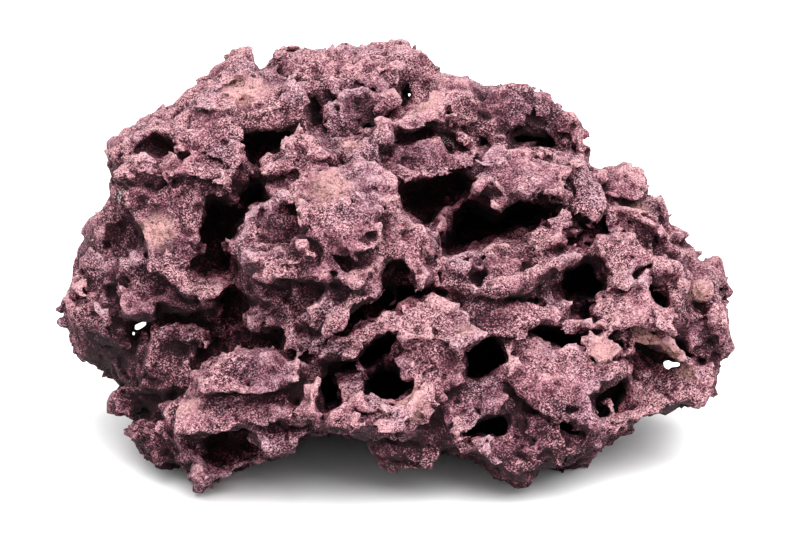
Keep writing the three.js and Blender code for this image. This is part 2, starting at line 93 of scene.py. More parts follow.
@dataclass(frozen=True)
class FrontSheet:
    """The sheet that the front's outlines are given on, and how the rock is seen on it."""

    wide: int = 800
    high: int = 533
    middle_x: float = wide / 2
    middle_y: float = high / 2
    middle: tuple[float, float, float] = (0.747, 1.3835, 84.0)  # of the rock's frame, at the sheet's middle
    unit: float = 300 / 667  # millimetres in a sheet unit at the middle
    tilt: float = math.radians(15)
    distance: float = 1000.0

    def read(self, x: np.ndarray, y: np.ndarray, z: np.ndarray) -> tuple[np.ndarray, ...]:
        """Finds where points of the rock lie on the sheet.

        Args:
            x, y, z: places in the rock's frame, in millimetres.

        Returns:
            The two sheet coordinates, the depth along the line of sight and the millimetres in a sheet unit.
        """
        x, y, z = (value - start for value, start in zip((x, y, z), self.middle))
        depth = y * math.cos(self.tilt) - z * math.sin(self.tilt)
        height = z * math.cos(self.tilt) + y * math.sin(self.tilt)
        unit = self.unit * (1 + depth / self.distance)
        return self.middle_x + x / unit, self.middle_y - height / unit, depth, unit

    def place(self, x: float, y: float, depth: float) -> np.ndarray:
        """The point of the rock's frame at a place and depth on the sheet."""
        unit = self.unit * (1 + depth / self.distance)
        along, height = (x - self.middle_x) * unit, (self.middle_y - y) * unit
        back = height * math.sin(self.tilt) + depth * math.cos(self.tilt)
        rise = height * math.cos(self.tilt) - depth * math.sin(self.tilt)
        return np.array(self.middle) + (along, back, rise)


SHEET = FrontSheet()


def outline_distance(corners: np.ndarray, x: np.ndarray, y: np.ndarray) -> np.ndarray:
    """Distance of sheet points from a closed outline.

    Args:
        corners: the outline's corners, in order.
        x, y: places on the sheet.

    Returns:
        Distances in sheet units, negative inside.
    """
    nearest = np.full(x.shape, np.inf)
    inside = np.zeros(x.shape, bool)
    for (ax, ay), (bx, by) in zip(np.roll(corners, 1, axis=0), corners):
        ex, ey = bx - ax, by - ay
        along = np.clip(((x - ax) * ex + (y - ay) * ey) / (ex * ex + ey * ey), 0.0, 1.0)
        nearest = np.minimum(nearest, np.hypot(x - ax - ex * along, y - ay - ey * along))
        if ay != by:
            inside ^= ((ay > y) != (by > y)) & (x < ax + ex * (y - ay) / ey)
    return np.where(inside, -nearest, nearest)


def spline_weights(count: int, rate: float) -> np.ndarray:
    """Weights that spread lattice values over a row of samples along a cubic spline.

    Args:
        count: samples in the row.
        rate: lattice cells from one sample to the next.

    Returns:
        One row of weights for each sample, one column for each lattice value.
    """
    place = np.arange(count) * rate + 1.0
    cell = np.floor(place).astype(int)
    part = place - cell
    basis = (
        (1 - part) ** 3,
        3 * part**3 - 6 * part**2 + 4,
        -3 * part**3 + 3 * part**2 + 3 * part + 1,
        part**3,
    )
    weights = np.zeros((count, cell[-1] + 3), np.float32)
    for offset, share in enumerate(basis):
        weights[np.arange(count), cell - 1 + offset] = share / 6
    return weights


@dataclass
class StoneField:
    """Distances to the rock's surface on a grid of points, in millimetres and negative inside."""

    low: np.ndarray
    step: float
    values: np.ndarray
    band: float

    SPLINE_SPREAD = 0.33  # of lattice values with a spread of 1, once they are splined

    @classmethod
    def of_mesh(cls, mesh: bpy.types.Mesh, step: float, band: float, margin: float) -> "StoneField":
        """Reads a closed mesh as a field.

        Args:
            mesh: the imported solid, in metres.
            step: from one grid point to the next.
            band: the largest distance that the field tells.
            margin: from the solid's box to the edge of the grid.

        Returns:
            The solid's field.
        """
        points = np.empty(len(mesh.vertices) * 3, np.float32)
        mesh.vertices.foreach_get("co", points)
        points = points.reshape(-1, 3) / MM
        mesh.calc_loop_triangles()
        triangles = np.empty(len(mesh.loop_triangles) * 3, np.int32)
        mesh.loop_triangles.foreach_get("vertices", triangles)
        low = points.min(axis=0) - margin
        shape = np.ceil((points.max(axis=0) + margin - low) / step).astype(int)
        grid = openvdb.FloatGrid.createLevelSetFromPolygons(
            ((points - low) / step).astype(np.float32),
            triangles=triangles.reshape(-1, 3).astype(np.uint32),
            transform=openvdb.createLinearTransform(1.0),
            halfWidth=band / step,
        )
        values = np.zeros(shape, np.float32)
        grid.copyToArray(values)
        return cls(low, step, values * step, band)

    def block(self, low: np.ndarray, high: np.ndarray) -> tuple[tuple[slice, ...], list[np.ndarray]]:
        """The part of the grid inside a box.

        Args:
            low, high: corners of the box.

        Returns:
            The slices of the values there, and the places along each axis, ready to combine.
        """
        first = np.clip(np.floor((low - self.low) / self.step).astype(int), 0, self.values.shape)
        last = np.clip(np.ceil((high - self.low) / self.step).astype(int) + 1, 0, self.values.shape)
        slices = tuple(slice(a, b) for a, b in zip(first, last))
        axes = np.ix_(*(np.arange(a, b, dtype=np.float32) for a, b in zip(first, last)))
        return slices, [axis * self.step + start for axis, start in zip(axes, self.low)]

    def noise(self, size: float, seed: int) -> np.ndarray:
        """Smooth random values over the grid, with a spread of about 1.

        Args:
            size: of the lattice that the values are splined from.
            seed: of the random values.

        Returns:
            One value for each grid point.
        """
        rows = [spline_weights(count, self.step / size) for count in self.values.shape]
        values = np.random.default_rng(seed).standard_normal([row.shape[1] for row in rows])
        values = (values / self.SPLINE_SPREAD).astype(np.float32)
        for row in rows:
            values = np.tensordot(values, row, axes=(0, 1))
        return values

    def blurred(self, values: np.ndarray, reach: float) -> np.ndarray:
        """Values averaged twice over boxes that reach the given distance each way."""
        half = max(1, round(reach / self.step))
        for axis in (0, 1, 2, 0, 1, 2):
            pad = [(0, 0)] * 3
            pad[axis] = (half + 1, half)
            sums = np.cumsum(np.pad(values, pad, mode="edge"), axis=axis, dtype=np.float32)
            upper = [slice(None)] * 3
            lower = [slice(None)] * 3
            upper[axis] = slice(2 * half + 1, None)
            lower[axis] = slice(None, -(2 * half + 1))
            values = (sums[tuple(upper)] - sums[tuple(lower)]) / (2 * half + 1)
        return values

    def sample(self, values: np.ndarray, points: np.ndarray) -> np.ndarray:
        """Grid values at the grid points nearest to the given places."""
        cells = np.rint((points - self.low) / self.step).astype(int)
        cells = np.clip(cells, 0, np.array(values.shape) - 1)
        return values[cells[:, 0], cells[:, 1], cells[:, 2]]

    def sampled_between(self, values: np.ndarray, points: np.ndarray) -> np.ndarray:
        """Grid values at the given places, from the eight grid points around each."""
        place = np.clip((points - self.low) / self.step, 0, np.array(values.shape) - LAST_CELL)
        cell = np.floor(place).astype(int)
        part = place - cell
        found = np.zeros(len(points))
        for corner in np.ndindex(2, 2, 2):
            share = np.prod(np.where(corner, part, 1 - part), axis=1)
            at = cell + corner
            found += share * values[at[:, 0], at[:, 1], at[:, 2]]
        return found

    def surface(self) -> tuple[np.ndarray, np.ndarray]:
        """The mesh where the field is zero: its points, and its corners by fours."""
        grid = openvdb.FloatGrid(self.band)
        grid.copyFromArray(np.clip(self.values, -self.band, self.band))
        points, _, quads = grid.convertToPolygons(0.0, 0.0)
        return points * self.step + self.low, quads.astype(np.int32)


class FrontDepths:
    """How deep the rock's front lies at each place of the sheet."""

    CELL = 4  # of the sheet, in its units
    COLUMNS = SHEET.wide // CELL
    ROWS = SHEET.high // CELL + 1
    ROUNDS = 8  # of averaging
    LEAST_SHARE = 1e-12  # of the known depths in an average

    def __init__(self, stone: StoneField) -> None:
        """Finds the nearest of the surface's grid points in each cell of the sheet."""
        near = np.argwhere(np.abs(stone.values) < stone.step)
        x, y, depth, _ = SHEET.read(*(stone.low + near * stone.step).T)
        cells = self.row(y), self.column(x)
        self.depths = np.full((self.ROWS, self.COLUMNS), np.inf)
        np.minimum.at(self.depths, cells, depth)
        self.broad = self.spread()

    def row(self, y: np.ndarray) -> np.ndarray:
        """Row of the cells at the given heights on the sheet."""
        return np.clip(np.floor_divide(y, self.CELL).astype(int), 0, self.ROWS - 1)

    def column(self, x: np.ndarray) -> np.ndarray:
        """Column of the cells at the given places along the sheet."""
        return np.clip(np.floor_divide(x, self.CELL).astype(int), 0, self.COLUMNS - 1)

    def at(self, x: np.ndarray, y: np.ndarray) -> np.ndarray:
        """Depths at places of the sheet, infinite beside the rock."""
        return self.depths[self.row(np.asarray(y)), self.column(np.asarray(x))]

    def spread(self) -> np.ndarray:
        """The depths averaged with those around them, which also fills the gaps between them."""
        known = np.isfinite(self.depths)
        sums = np.stack([np.where(known, self.depths, 0.0), known.astype(float)])
        for _ in range(self.ROUNDS):
            for axis in (1, 2):
                sums = (np.roll(sums, 1, axis) + 2 * sums + np.roll(sums, -1, axis)) / 4
        averages = sums[0] / np.maximum(sums[1], self.LEAST_SHARE)
        return np.where(sums[1] > 0, averages, self.depths[known].max())

    def broad_at(self, x: np.ndarray, y: np.ndarray) -> np.ndarray:
        """Averaged depths at places of the sheet, from the four cells around each."""
        across = np.clip(x / self.CELL - 0.5, 0, self.COLUMNS - LAST_CELL)
        down = np.clip(y / self.CELL - 0.5, 0, self.ROWS - LAST_CELL)
        column, row = across.astype(int), down.astype(int)
        right, below = across - column, down - row
        upper = self.broad[row, column] * (1 - right) + self.broad[row, column + 1] * right
        lower = self.broad[row + 1, column] * (1 - right) + self.broad[row + 1, column + 1] * right
        return upper * (1 - below) + lower * below

    def around(self, corners: np.ndarray, out: float = 3.0) -> float:
        """The middle depth of the rim just outside an outline."""
        away = corners - corners.mean(axis=0)
        away /= np.maximum(np.linalg.norm(away, axis=1, keepdims=True), TINY)
        depths = self.at(*(corners + away * out).T)
        depths = depths[np.isfinite(depths)]
        return float(np.median(depths)) if len(depths) else 0.0


class Roughness:
    """Noise over the grid that keeps the outlines and faces of the front from being straight."""

    DRIFT = ((7, 2.2), (2.8, 1.0))  # the size and height of each noise
    WALL = ((3.5, 0.8),)
    FACE = ((10, 0.9), (4, 0.5))

    def __init__(self, stone: StoneField) -> None:
        """Draws the noise: two drifts in sheet units, and the heights of walls and faces in millimetres."""
        self.across = self.layered(stone, self.DRIFT, 41)
        self.down = self.layered(stone, self.DRIFT, 43)
        self.wall = self.layered(stone, self.WALL, 5)
        self.face = self.layered(stone, self.FACE, 45)

    @staticmethod
    def layered(stone: StoneField, scales: tuple[tuple[float, float], ...], seed: int) -> np.ndarray:
        """The sum of noises of the given sizes and heights, with seeds from the given one up."""
        return sum(height * stone.noise(size, seed + i) for i, (size, height) in enumerate(scales))


@dataclass(frozen=True)
class FrontForm:
    """A form worked into the front inside an outline on the sheet."""

    MARGIN = 6.0  # of the grid points that are worked, around the form
    FORWARD = 30.0  # how far in front of the form the rock is cleared

    def aside(
        self,
        stone: StoneField,
        rough: Roughness,
        corners: np.ndarray,
        near: float,
        far: float,
        drift: float = 1.0,
    ) -> tuple:
        """Measures the grid points around the form.

        Args:
            stone: the rock's field.
            rough: what the outline is made ragged by.
            corners: the outline.
            near, far: the depths that the form reaches between.
            drift: share of the raggedness that the outline takes.

        Returns:
            The slices of the grid, the sheet coordinates, depths and sheet units there, and the distances
            from the outline in millimetres.
        """
        ends = [SHEET.place(x, y, depth) for x, y in corners for depth in (near, far)]
        low, high = np.min(ends, axis=0) - self.MARGIN, np.max(ends, axis=0) + self.MARGIN
        slices, axes = stone.block(low, high)
        x, y, depth, unit = SHEET.read(*axes)
        x = x + drift * rough.across[slices]
        y = y + drift * rough.down[slices]
        return slices, x, y, depth, unit, outline_distance(corners, x, y) * unit


@dataclass(frozen=True)
class Slab(FrontForm):
    """A facet of the front: how far it stands out, how it leans, and its outline.

    Its face is a plane that lies the rise in front of the rock around it. A lean of 1 takes the face back by
    a millimetre for each one up, and a turn of 1 by a millimetre for each one to the right.
    """

    rise: float
    lean: float
    outline: str
    turn: float = 0.0
    thick: float = 20.0
    edge: float = 0.3

    def work(self, stone: StoneField, depths: FrontDepths, rough: Roughness) -> None:
        """Fills the rock up to the facet and cuts away what stands in front of it.

        Args:
            stone: the rock's field.
            depths: depths of the rock's front.
            rough: what the facet is made ragged by.
        """
        corners = read_points(self.outline)
        middle_x, middle_y = corners.mean(axis=0)
        level = float(np.mean(depths.broad_at(*corners.T))) - self.rise
        half = SHEET.unit * np.ptp(corners, axis=0) / 2
        swing = abs(self.lean) * half[1] + abs(self.turn) * half[0]
        slices, x, y, depth, unit, aside = self.aside(
            stone, rough, corners, level - swing - self.FORWARD, level + swing + self.thick
        )
        face = level + unit * (self.lean * (middle_y - y) + self.turn * (x - middle_x)) + rough.face[slices]
        solid = np.maximum(np.maximum(aside, face - depth), depth - face - self.thick)
        spare = np.maximum(aside, depth - face)
        values = smooth_min(stone.values[slices], solid, self.edge)
        stone.values[slices] = smooth_max(values, -spare, self.edge)


@dataclass(frozen=True)
class Dish(FrontForm):
    """A shallow hollow of the front: how deep it is in the middle, and its outline."""

    deep: float
    outline: str
    slope: float = 0.9
    edge: float = 0.8

    def work(self, stone: StoneField, depths: FrontDepths, rough: Roughness) -> None:
        """Takes the hollow out of the rock.

        Args:
            stone: the rock's field.
            depths: depths of the rock's front.
            rough: what the hollow is made ragged by.
        """
        corners = read_points(self.outline)
        levels = depths.broad_at(*corners.T)
        slices, x, y, depth, _, aside = self.aside(
            stone, rough, corners, levels.min() - self.FORWARD, levels.max() + self.deep
        )
        part = np.clip(-aside * self.slope / (2 * self.deep), 0.0, 1.0)
        floor = depths.broad_at(x, y) + self.deep * part * (2 - part) + rough.face[slices]
        spare = np.maximum(aside, depth - floor)
        stone.values[slices] = smooth_max(stone.values[slices], -spare, self.edge)


@dataclass(frozen=True)
class Hole(FrontForm):
    """A hole of the front: how deep it goes in from its rim, and its outline."""

    deep: float
    outline: str
    taper: float = 0.12
    drift: float = 1.0
    flare: float = 0.4
    edge: float = 0.4
    wall: float = 1.0

    FLARE_DEPTH = 5.0
    BOTTOM_ROUND = 4.0  # of the edge between wall and bottom

    def work(self, stone: StoneField, depths: FrontDepths, rough: Roughness) -> None:
        """Takes the hole out of the rock.

        Args:
            stone: the rock's field.
            depths: depths of the rock's front.
            rough: what the hole is made ragged by.
        """
        corners = read_points(self.outline)
        rim = depths.around(corners)
        bottom = rim + self.deep
        slices, x, y, depth, _, aside = self.aside(
            stone, rough, corners, rim - self.FORWARD, bottom, self.drift
        )
        inward = depth - depths.broad_at(x, y)
        aside = aside + self.taper * np.maximum(depth - rim, 0.0)
        aside = aside - self.flare * np.clip(1 - inward / self.FLARE_DEPTH, 0.0, 1.0)
        hollow = smooth_max(aside, depth - bottom, self.BOTTOM_ROUND) + self.wall * rough.wall[slices]
        stone.values[slices] = smooth_max(stone.values[slices], -hollow, self.edge)


@dataclass(frozen=True)
class Tunnel(Hole):
    """A straight hole or notch that daylight is seen through."""

    taper: float = 0.0
    drift: float = 0.25
    flare: float = 0.0
    wall: float = 0.2


@dataclass(frozen=True)
class Ridge:
    """A raised line of the front: its path on the sheet, its thickness and how far it is sunk in."""

    radius: float
    sink: float
    path: str
    edge: float = 2.5
    cut: bool = False

    MARGIN = 2.0  # of the grid points that are worked, around the ridge

    def work(self, stone: StoneField, depths: FrontDepths, rough: Roughness) -> None:
        """Adds the ridge to the rock, or cuts it as a groove.

        Args:
            stone: the rock's field.
            depths: depths of the rock's front.
            rough: what the ridge is made ragged by.
        """
        spots = read_points(self.path)
        found = depths.at(*spots.T)
        found = np.where(np.isfinite(found), found, np.min(found))
        places = np.array([SHEET.place(x, y, d + self.sink) for (x, y), d in zip(spots, found)])
        margin = self.radius + 2 * self.edge + self.MARGIN
        slices, (x, y, z) = stone.block(places.min(axis=0) - margin, places.max(axis=0) + margin)
        nearest = np.full(stone.values[slices].shape, np.inf, np.float32)
        for start, end in zip(places[:-1], places[1:]):
            run = end - start
            along = (x - start[0]) * run[0] + (y - start[1]) * run[1] + (z - start[2]) * run[2]
            along = np.clip(along / (run @ run), 0.0, 1.0)
            off = [axis - a - r * along for axis, a, r in zip((x, y, z), start, run)]
            nearest = np.minimum(nearest, np.sqrt(off[0] ** 2 + off[1] ** 2 + off[2] ** 2))
        form = nearest - self.radius + rough.wall[slices]
        if self.cut:
            stone.values[slices] = smooth_max(stone.values[slices], -form, self.edge)
        else:
            stone.values[slices] = smooth_min(stone.values[slices], form, self.edge)


@dataclass(frozen=True)
class Shell:
    """A small coiled shell grown into the front.

    It is given by its middle on the sheet, its radius and how far it is sunk in.
    """

    x: float
    y: float
    radius: float
    sink: float
    turns: float = 1.6
    groove: float = 1.5
    edge: float = 0.4

    def work(self, stone: StoneField, depths: FrontDepths) -> None:
        """Adds the shell, a ball with a spiral groove, to the rock.

        Args:
            stone: the rock's field.
            depths: depths of the rock's front.
        """
        level = float(depths.at(self.x, self.y)) + self.sink
        middle = SHEET.place(self.x, self.y, level)
        reach = self.radius + 2 * self.edge
        slices, axes = stone.block(middle - reach, middle + reach)
        x, y, depth, unit = SHEET.read(*axes)
        across, down = unit * (x - self.x), unit * (y - self.y)
        out = np.hypot(across, down)
        turned = np.arctan2(down, across) + 2 * math.pi * self.turns * out / self.radius
        ball = np.hypot(out, depth - level) - self.radius + self.groove * (0.5 + 0.5 * np.cos(turned))
        stone.values[slices] = smooth_min(stone.values[slices], ball.astype(np.float32), self.edge)


@dataclass(frozen=True)
class Rubble:
    """Angular lumps or pits scattered over the whole surface."""

    count: int
    radius: tuple[float, float]
    skew: float  # the higher, the more of them are small
    sink: float  # how far the middles lie under the surface, as a share of the radius
    seed: int
    cut: bool = False

    CUTS = 3  # faces besides the six of a block
    REACH = (0.6, 1.1)  # of the faces from the middle, as a share of the radius
    SPAN = 1.6  # of the grid points that are worked, as a share of the radius
    MARGIN = 2.0  # around that span

    def scatter(self, stone: StoneField) -> None:
        """Adds the lumps to the rock, or takes the pits out of it."""
        rng = np.random.default_rng(self.seed)
        skin = np.argwhere(np.abs(stone.values) < stone.step / 2)
        chosen = skin[rng.choice(len(skin), self.count)]
        chosen = np.clip(chosen, 1, np.array(stone.values.shape) - 2)
        slope = np.stack([self.slope(stone, chosen, axis) for axis in range(3)], axis=1)
        outward = slope / np.maximum(np.linalg.norm(slope, axis=1, keepdims=True), TINY)
        least, most = self.radius
        radii = least + (most - least) * rng.random(self.count) ** self.skew
        middles = stone.low + chosen * stone.step - outward * (radii * self.sink)[:, None]
        for middle, radius in zip(middles, radii):
            block, _ = np.linalg.qr(rng.standard_normal((3, 3)))
            cuts = rng.standard_normal((self.CUTS, 3))
            cuts /= np.linalg.norm(cuts, axis=1, keepdims=True)
            faces = np.concatenate([block, -block, cuts])
            reaches = radius * rng.uniform(*self.REACH, len(faces))
            span = self.SPAN * radius
            slices, (x, y, z) = stone.block(middle - span - self.MARGIN, middle + span + self.MARGIN)
            x, y, z = x - middle[0], y - middle[1], z - middle[2]
            form = np.full(stone.values[slices].shape, -np.inf, np.float32)
            for (a, b, c), reach in zip(faces, reaches):
                np.maximum(form, a * x + b * y + c * z - reach, out=form)
            if self.cut:
                stone.values[slices] = np.maximum(stone.values[slices], -form)
            else:
                stone.values[slices] = np.minimum(stone.values[slices], form)

    @staticmethod
    def slope(stone: StoneField, cells: np.ndarray, axis: int) -> np.ndarray:
        """How the field rises along an axis at the given grid points."""
        ahead, behind = cells.copy(), cells.copy()
        ahead[:, axis] += 1
        behind[:, axis] -= 1
        return stone.values[tuple(ahead.T)] - stone.values[tuple(behind.T)]


@dataclass(frozen=True)
class Facets:
    """Broken faces all over the surface, each at its own height and slope, some with cracks between them."""

    size: float
    height: float
    slope: float
    crack: float  # depth of the cracks
    seed: int

    REACH = 5.0  # of the change on each side of the surface
    DRIFT = 0.2  # of the edges, as a share of the size
    JITTER = 0.8  # of the middles in their cells
    CRACK_WIDTH = 1.2
    CRACK_PATCH = 18.0  # size of the parts with and without cracks
    FIRST_CELL = 1.5  # where the cells begin, so that each place has cells around it

    def chisel(self, stone: StoneField) -> None:
        """Gives every face its height and slope."""
        rng = np.random.default_rng(self.seed)
        near = np.argwhere(np.abs(stone.values) < self.REACH)
        at = tuple(near.T)
        places = (near * (stone.step / self.size)).astype(np.float32)
        for axis in range(3):
            places[:, axis] += self.FIRST_CELL + self.DRIFT * stone.noise(self.size / 2, self.seed + axis)[at]
        shape = tuple(np.ceil(places.max(axis=0)).astype(int) + 2)
        jitter = self.JITTER * (rng.random((*shape, 3), np.float32) - 0.5)
        heights = rng.uniform(-1.0, 1.0, shape).astype(np.float32)
        slopes = rng.standard_normal((*shape, 3)).astype(np.float32)
        first = np.floor(places - 0.5).astype(int)
        nearest = np.full(len(near), np.inf, np.float32)
        second = nearest.copy()
        lift = np.zeros(len(near), np.float32)
        for corner in np.ndindex(2, 2, 2):
            cell = tuple((first + corner).T)
            away = places - (first + corner) - 0.5 - jitter[cell]
            far = np.sqrt(np.sum(away * away, axis=1))
            closer = far < nearest
            second = np.where(closer, nearest, np.minimum(second, far))
            nearest = np.where(closer, far, nearest)
            tilt = np.sum(slopes[cell] * away, axis=1)
            lift = np.where(closer, self.height * heights[cell] + self.slope * self.size * tilt, lift)
        edge = 1 - (second - nearest) * self.size / self.CRACK_WIDTH
        cracked = np.clip(stone.noise(self.CRACK_PATCH, self.seed + 3)[at], 0.0, 1.0)
        stone.values[at] += lift + self.crack * cracked * np.clip(edge, 0.0, 1.0)


@dataclass(frozen=True)
class Spot:
    """A coloured patch of the front: its middle on the sheet and its radius in sheet units."""

    x: float
    y: float
    radius: float

    CORE = 0.35  # share of the radius that has the full strength
    INSET = 3.0  # the radius over this is how far the middle lies behind the front

    def strength(self, points: np.ndarray, depths: FrontDepths) -> np.ndarray:
        """How strong the patch is at each point of the rock.

        Args:
            points: places in the rock's frame.
            depths: depths of the rock's front.

        Returns:
            Values from 0 outside to 1 in the middle.
        """
        depth = float(depths.at(self.x, self.y))
        if not math.isfinite(depth):
            return np.zeros(len(points))
        middle = SHEET.place(self.x, self.y, depth + self.radius * SHEET.unit / self.INSET)
        away = np.linalg.norm(points - middle, axis=1)
        return 1 - smooth_step(self.CORE, 1.0, away / (self.radius * SHEET.unit))


@dataclass(frozen=True)
class Zone:
    """A wide part of the front that is paler or darker: its tone, from -1 to 1, and its spot. The tone is
    partly the crust's own and partly painted light on lit faces and painted shade low down and under ledges.
    """

    tone: float
    spot: Spot

    def strength(self, points: np.ndarray, depths: FrontDepths) -> np.ndarray:
        """The tone at each point of the rock, which fades to 0 around the spot."""
        return self.tone * self.spot.strength(points, depths)


@dataclass(frozen=True)
class Wear:
    """One scale of the wear that leaves crests between pits: its size, depth and random seed."""

    size: float
    depth: float
    seed: int


class Shader:
    """Adds and joins the nodes of one material."""

    MIX_COLOURS = (6, 7)  # sockets of the Mix node that share their names with those for other kinds of value
    MIXED_COLOUR = 2
    SPECK_CHOICE = (0.45, 0.60)  # random values where a cell's speck begins and is full
    SPECK_EDGE = (0.40, 0.20)  # distances from the middle, in cells, where a speck begins and is full

    def __init__(self, name: str) -> None:
        """Starts an empty material of the given name."""
        self.material = bpy.data.materials.new(name)
        self.material.use_nodes = True
        self.tree = self.material.node_tree
        self.bsdf = self.tree.nodes["Principled BSDF"]
        self.place = self.node("ShaderNodeTexCoord").outputs["Object"]

    def node(self, kind: str, **settings: object) -> bpy.types.Node:
        """A new node with the given settings."""
        made = self.tree.nodes.new(kind)
        for name, value in settings.items():
            setattr(made, name, value)
        return made

    def feed(self, socket: bpy.types.NodeSocket, source: object) -> None:
        """Joins a socket to another one, or sets its value."""
        if isinstance(source, bpy.types.NodeSocket):
            self.tree.links.new(source, socket)
        else:
            socket.default_value = source

    def math(self, operation: str, a: object, b: object) -> bpy.types.NodeSocket:
        """The result of one sum on two values."""
        made = self.node("ShaderNodeMath", operation=operation)
        self.feed(made.inputs[0], a)
        self.feed(made.inputs[1], b)
        return made.outputs[0]

    def sum(self, *parts: tuple[object, float]) -> bpy.types.NodeSocket:
        """The sum of values, each times its share."""
        total: object = 0.0
        for value, share in parts:
            made = self.node("ShaderNodeMath", operation="MULTIPLY_ADD")
            for socket, source in zip(made.inputs, (value, share, total)):
                self.feed(socket, source)
            total = made.outputs[0]
        return total

    def ranged(self, value: object, low: float, high: float) -> bpy.types.NodeSocket:
        """The value's place between low and high, from 0 to 1 without corners."""
        made = self.node("ShaderNodeMapRange", interpolation_type="SMOOTHSTEP")
        for name, source in (("Value", value), ("From Min", low), ("From Max", high)):
            self.feed(made.inputs[name], source)
        return made.outputs["Result"]

    def mix(self, share: object, a: object, b: object, blend: str = "MIX") -> bpy.types.NodeSocket:
        """Two colours mixed by a share of the second."""
        made = self.node("ShaderNodeMix", data_type="RGBA", blend_type=blend)
        self.feed(made.inputs["Factor"], share)
        for socket, colour in zip(self.MIX_COLOURS, (a, b)):
            self.feed(made.inputs[socket], colour)
        return made.outputs[self.MIXED_COLOUR]

    def layer(self, layer: Layer) -> bpy.types.NodeSocket:
        """One of the values that the mesh's corners carry."""
        return self.node("ShaderNodeAttribute", attribute_name=layer.value).outputs["Fac"]

    def noise(
        self,
        size: float,
        detail: float,
        roughness: float = 0.6,
        shift: float = 0.0,
        rise: float = 0.0,
        warp: float = 0.0,
    ) -> bpy.types.NodeSocket:
        """Cloudy noise with the given size in millimetres, about 0.5 on average.

        Args:
            size: of its largest clouds.
            detail: how many finer scales it has.
            roughness: how strong the finer scales are.
            shift: moves the noise, so that it differs from others.
            rise: lowers the noise by this many millimetres.
            warp: draws its clouds out into streaks.

        Returns:
            The noise's value.
        """
        made = self.node("ShaderNodeTexNoise")
        self.feed(made.inputs["Scale"], 1 / (size * MM))
        self.feed(made.inputs["Detail"], detail)
        self.feed(made.inputs["Roughness"], roughness)
        self.feed(made.inputs["Distortion"], warp)
        moved = self.node("ShaderNodeMapping")
        self.feed(moved.inputs["Vector"], self.place)
        self.feed(moved.inputs["Location"], (shift, -shift, shift + rise * MM))
        self.feed(made.inputs["Vector"], moved.outputs["Vector"])
        return made.outputs["Fac"]

    def cells(self, size: float) -> tuple[bpy.types.NodeOutputs, bpy.types.NodeSocket]:
        """Grains that fill the space.

        Args:
            size: of a grain, in millimetres.

        Returns:
            Three values that differ from one grain to the next, and the distance from a grain's middle.
        """
        made = self.node("ShaderNodeTexVoronoi")
        self.feed(made.inputs["Scale"], 1 / (size * MM))
        self.feed(made.inputs["Vector"], self.place)
        parts = self.node("ShaderNodeSeparateColor")
        self.feed(parts.inputs["Color"], made.outputs["Color"])
        return parts.outputs, made.outputs["Distance"]

    def crystals(self, size: float) -> bpy.types.NodeSocket:
        """A value from 0 to 1 that differs from one grain of the given millimetres to the next."""
        values, _ = self.cells(size)
        return values["Red"]

    def specks(self, size: float) -> bpy.types.NodeSocket:
        """Small round spots, 1 in their middles, in about half of the cells of the given millimetres."""
        values, away = self.cells(size)
        chosen = self.ranged(values["Green"], *self.SPECK_CHOICE)
        return self.math("MULTIPLY", chosen, self.ranged(away, *self.SPECK_EDGE))

    def ramp(self, value: object, stops: tuple[tuple[float, tuple[float, ...]], ...]) -> bpy.types.NodeSocket:
        """A colour from a row of stops, each a place from 0 to 1 with its colour."""
        made = self.node("ShaderNodeValToRGB")
        elements = made.color_ramp.elements
        while len(elements) < len(stops):
            elements.new(1.0)
        for element, (place, colour) in zip(elements, stops):
            element.position = place
            element.color = (*colour, 1.0)
        self.feed(made.inputs["Fac"], value)
        return made.outputs["Color"]


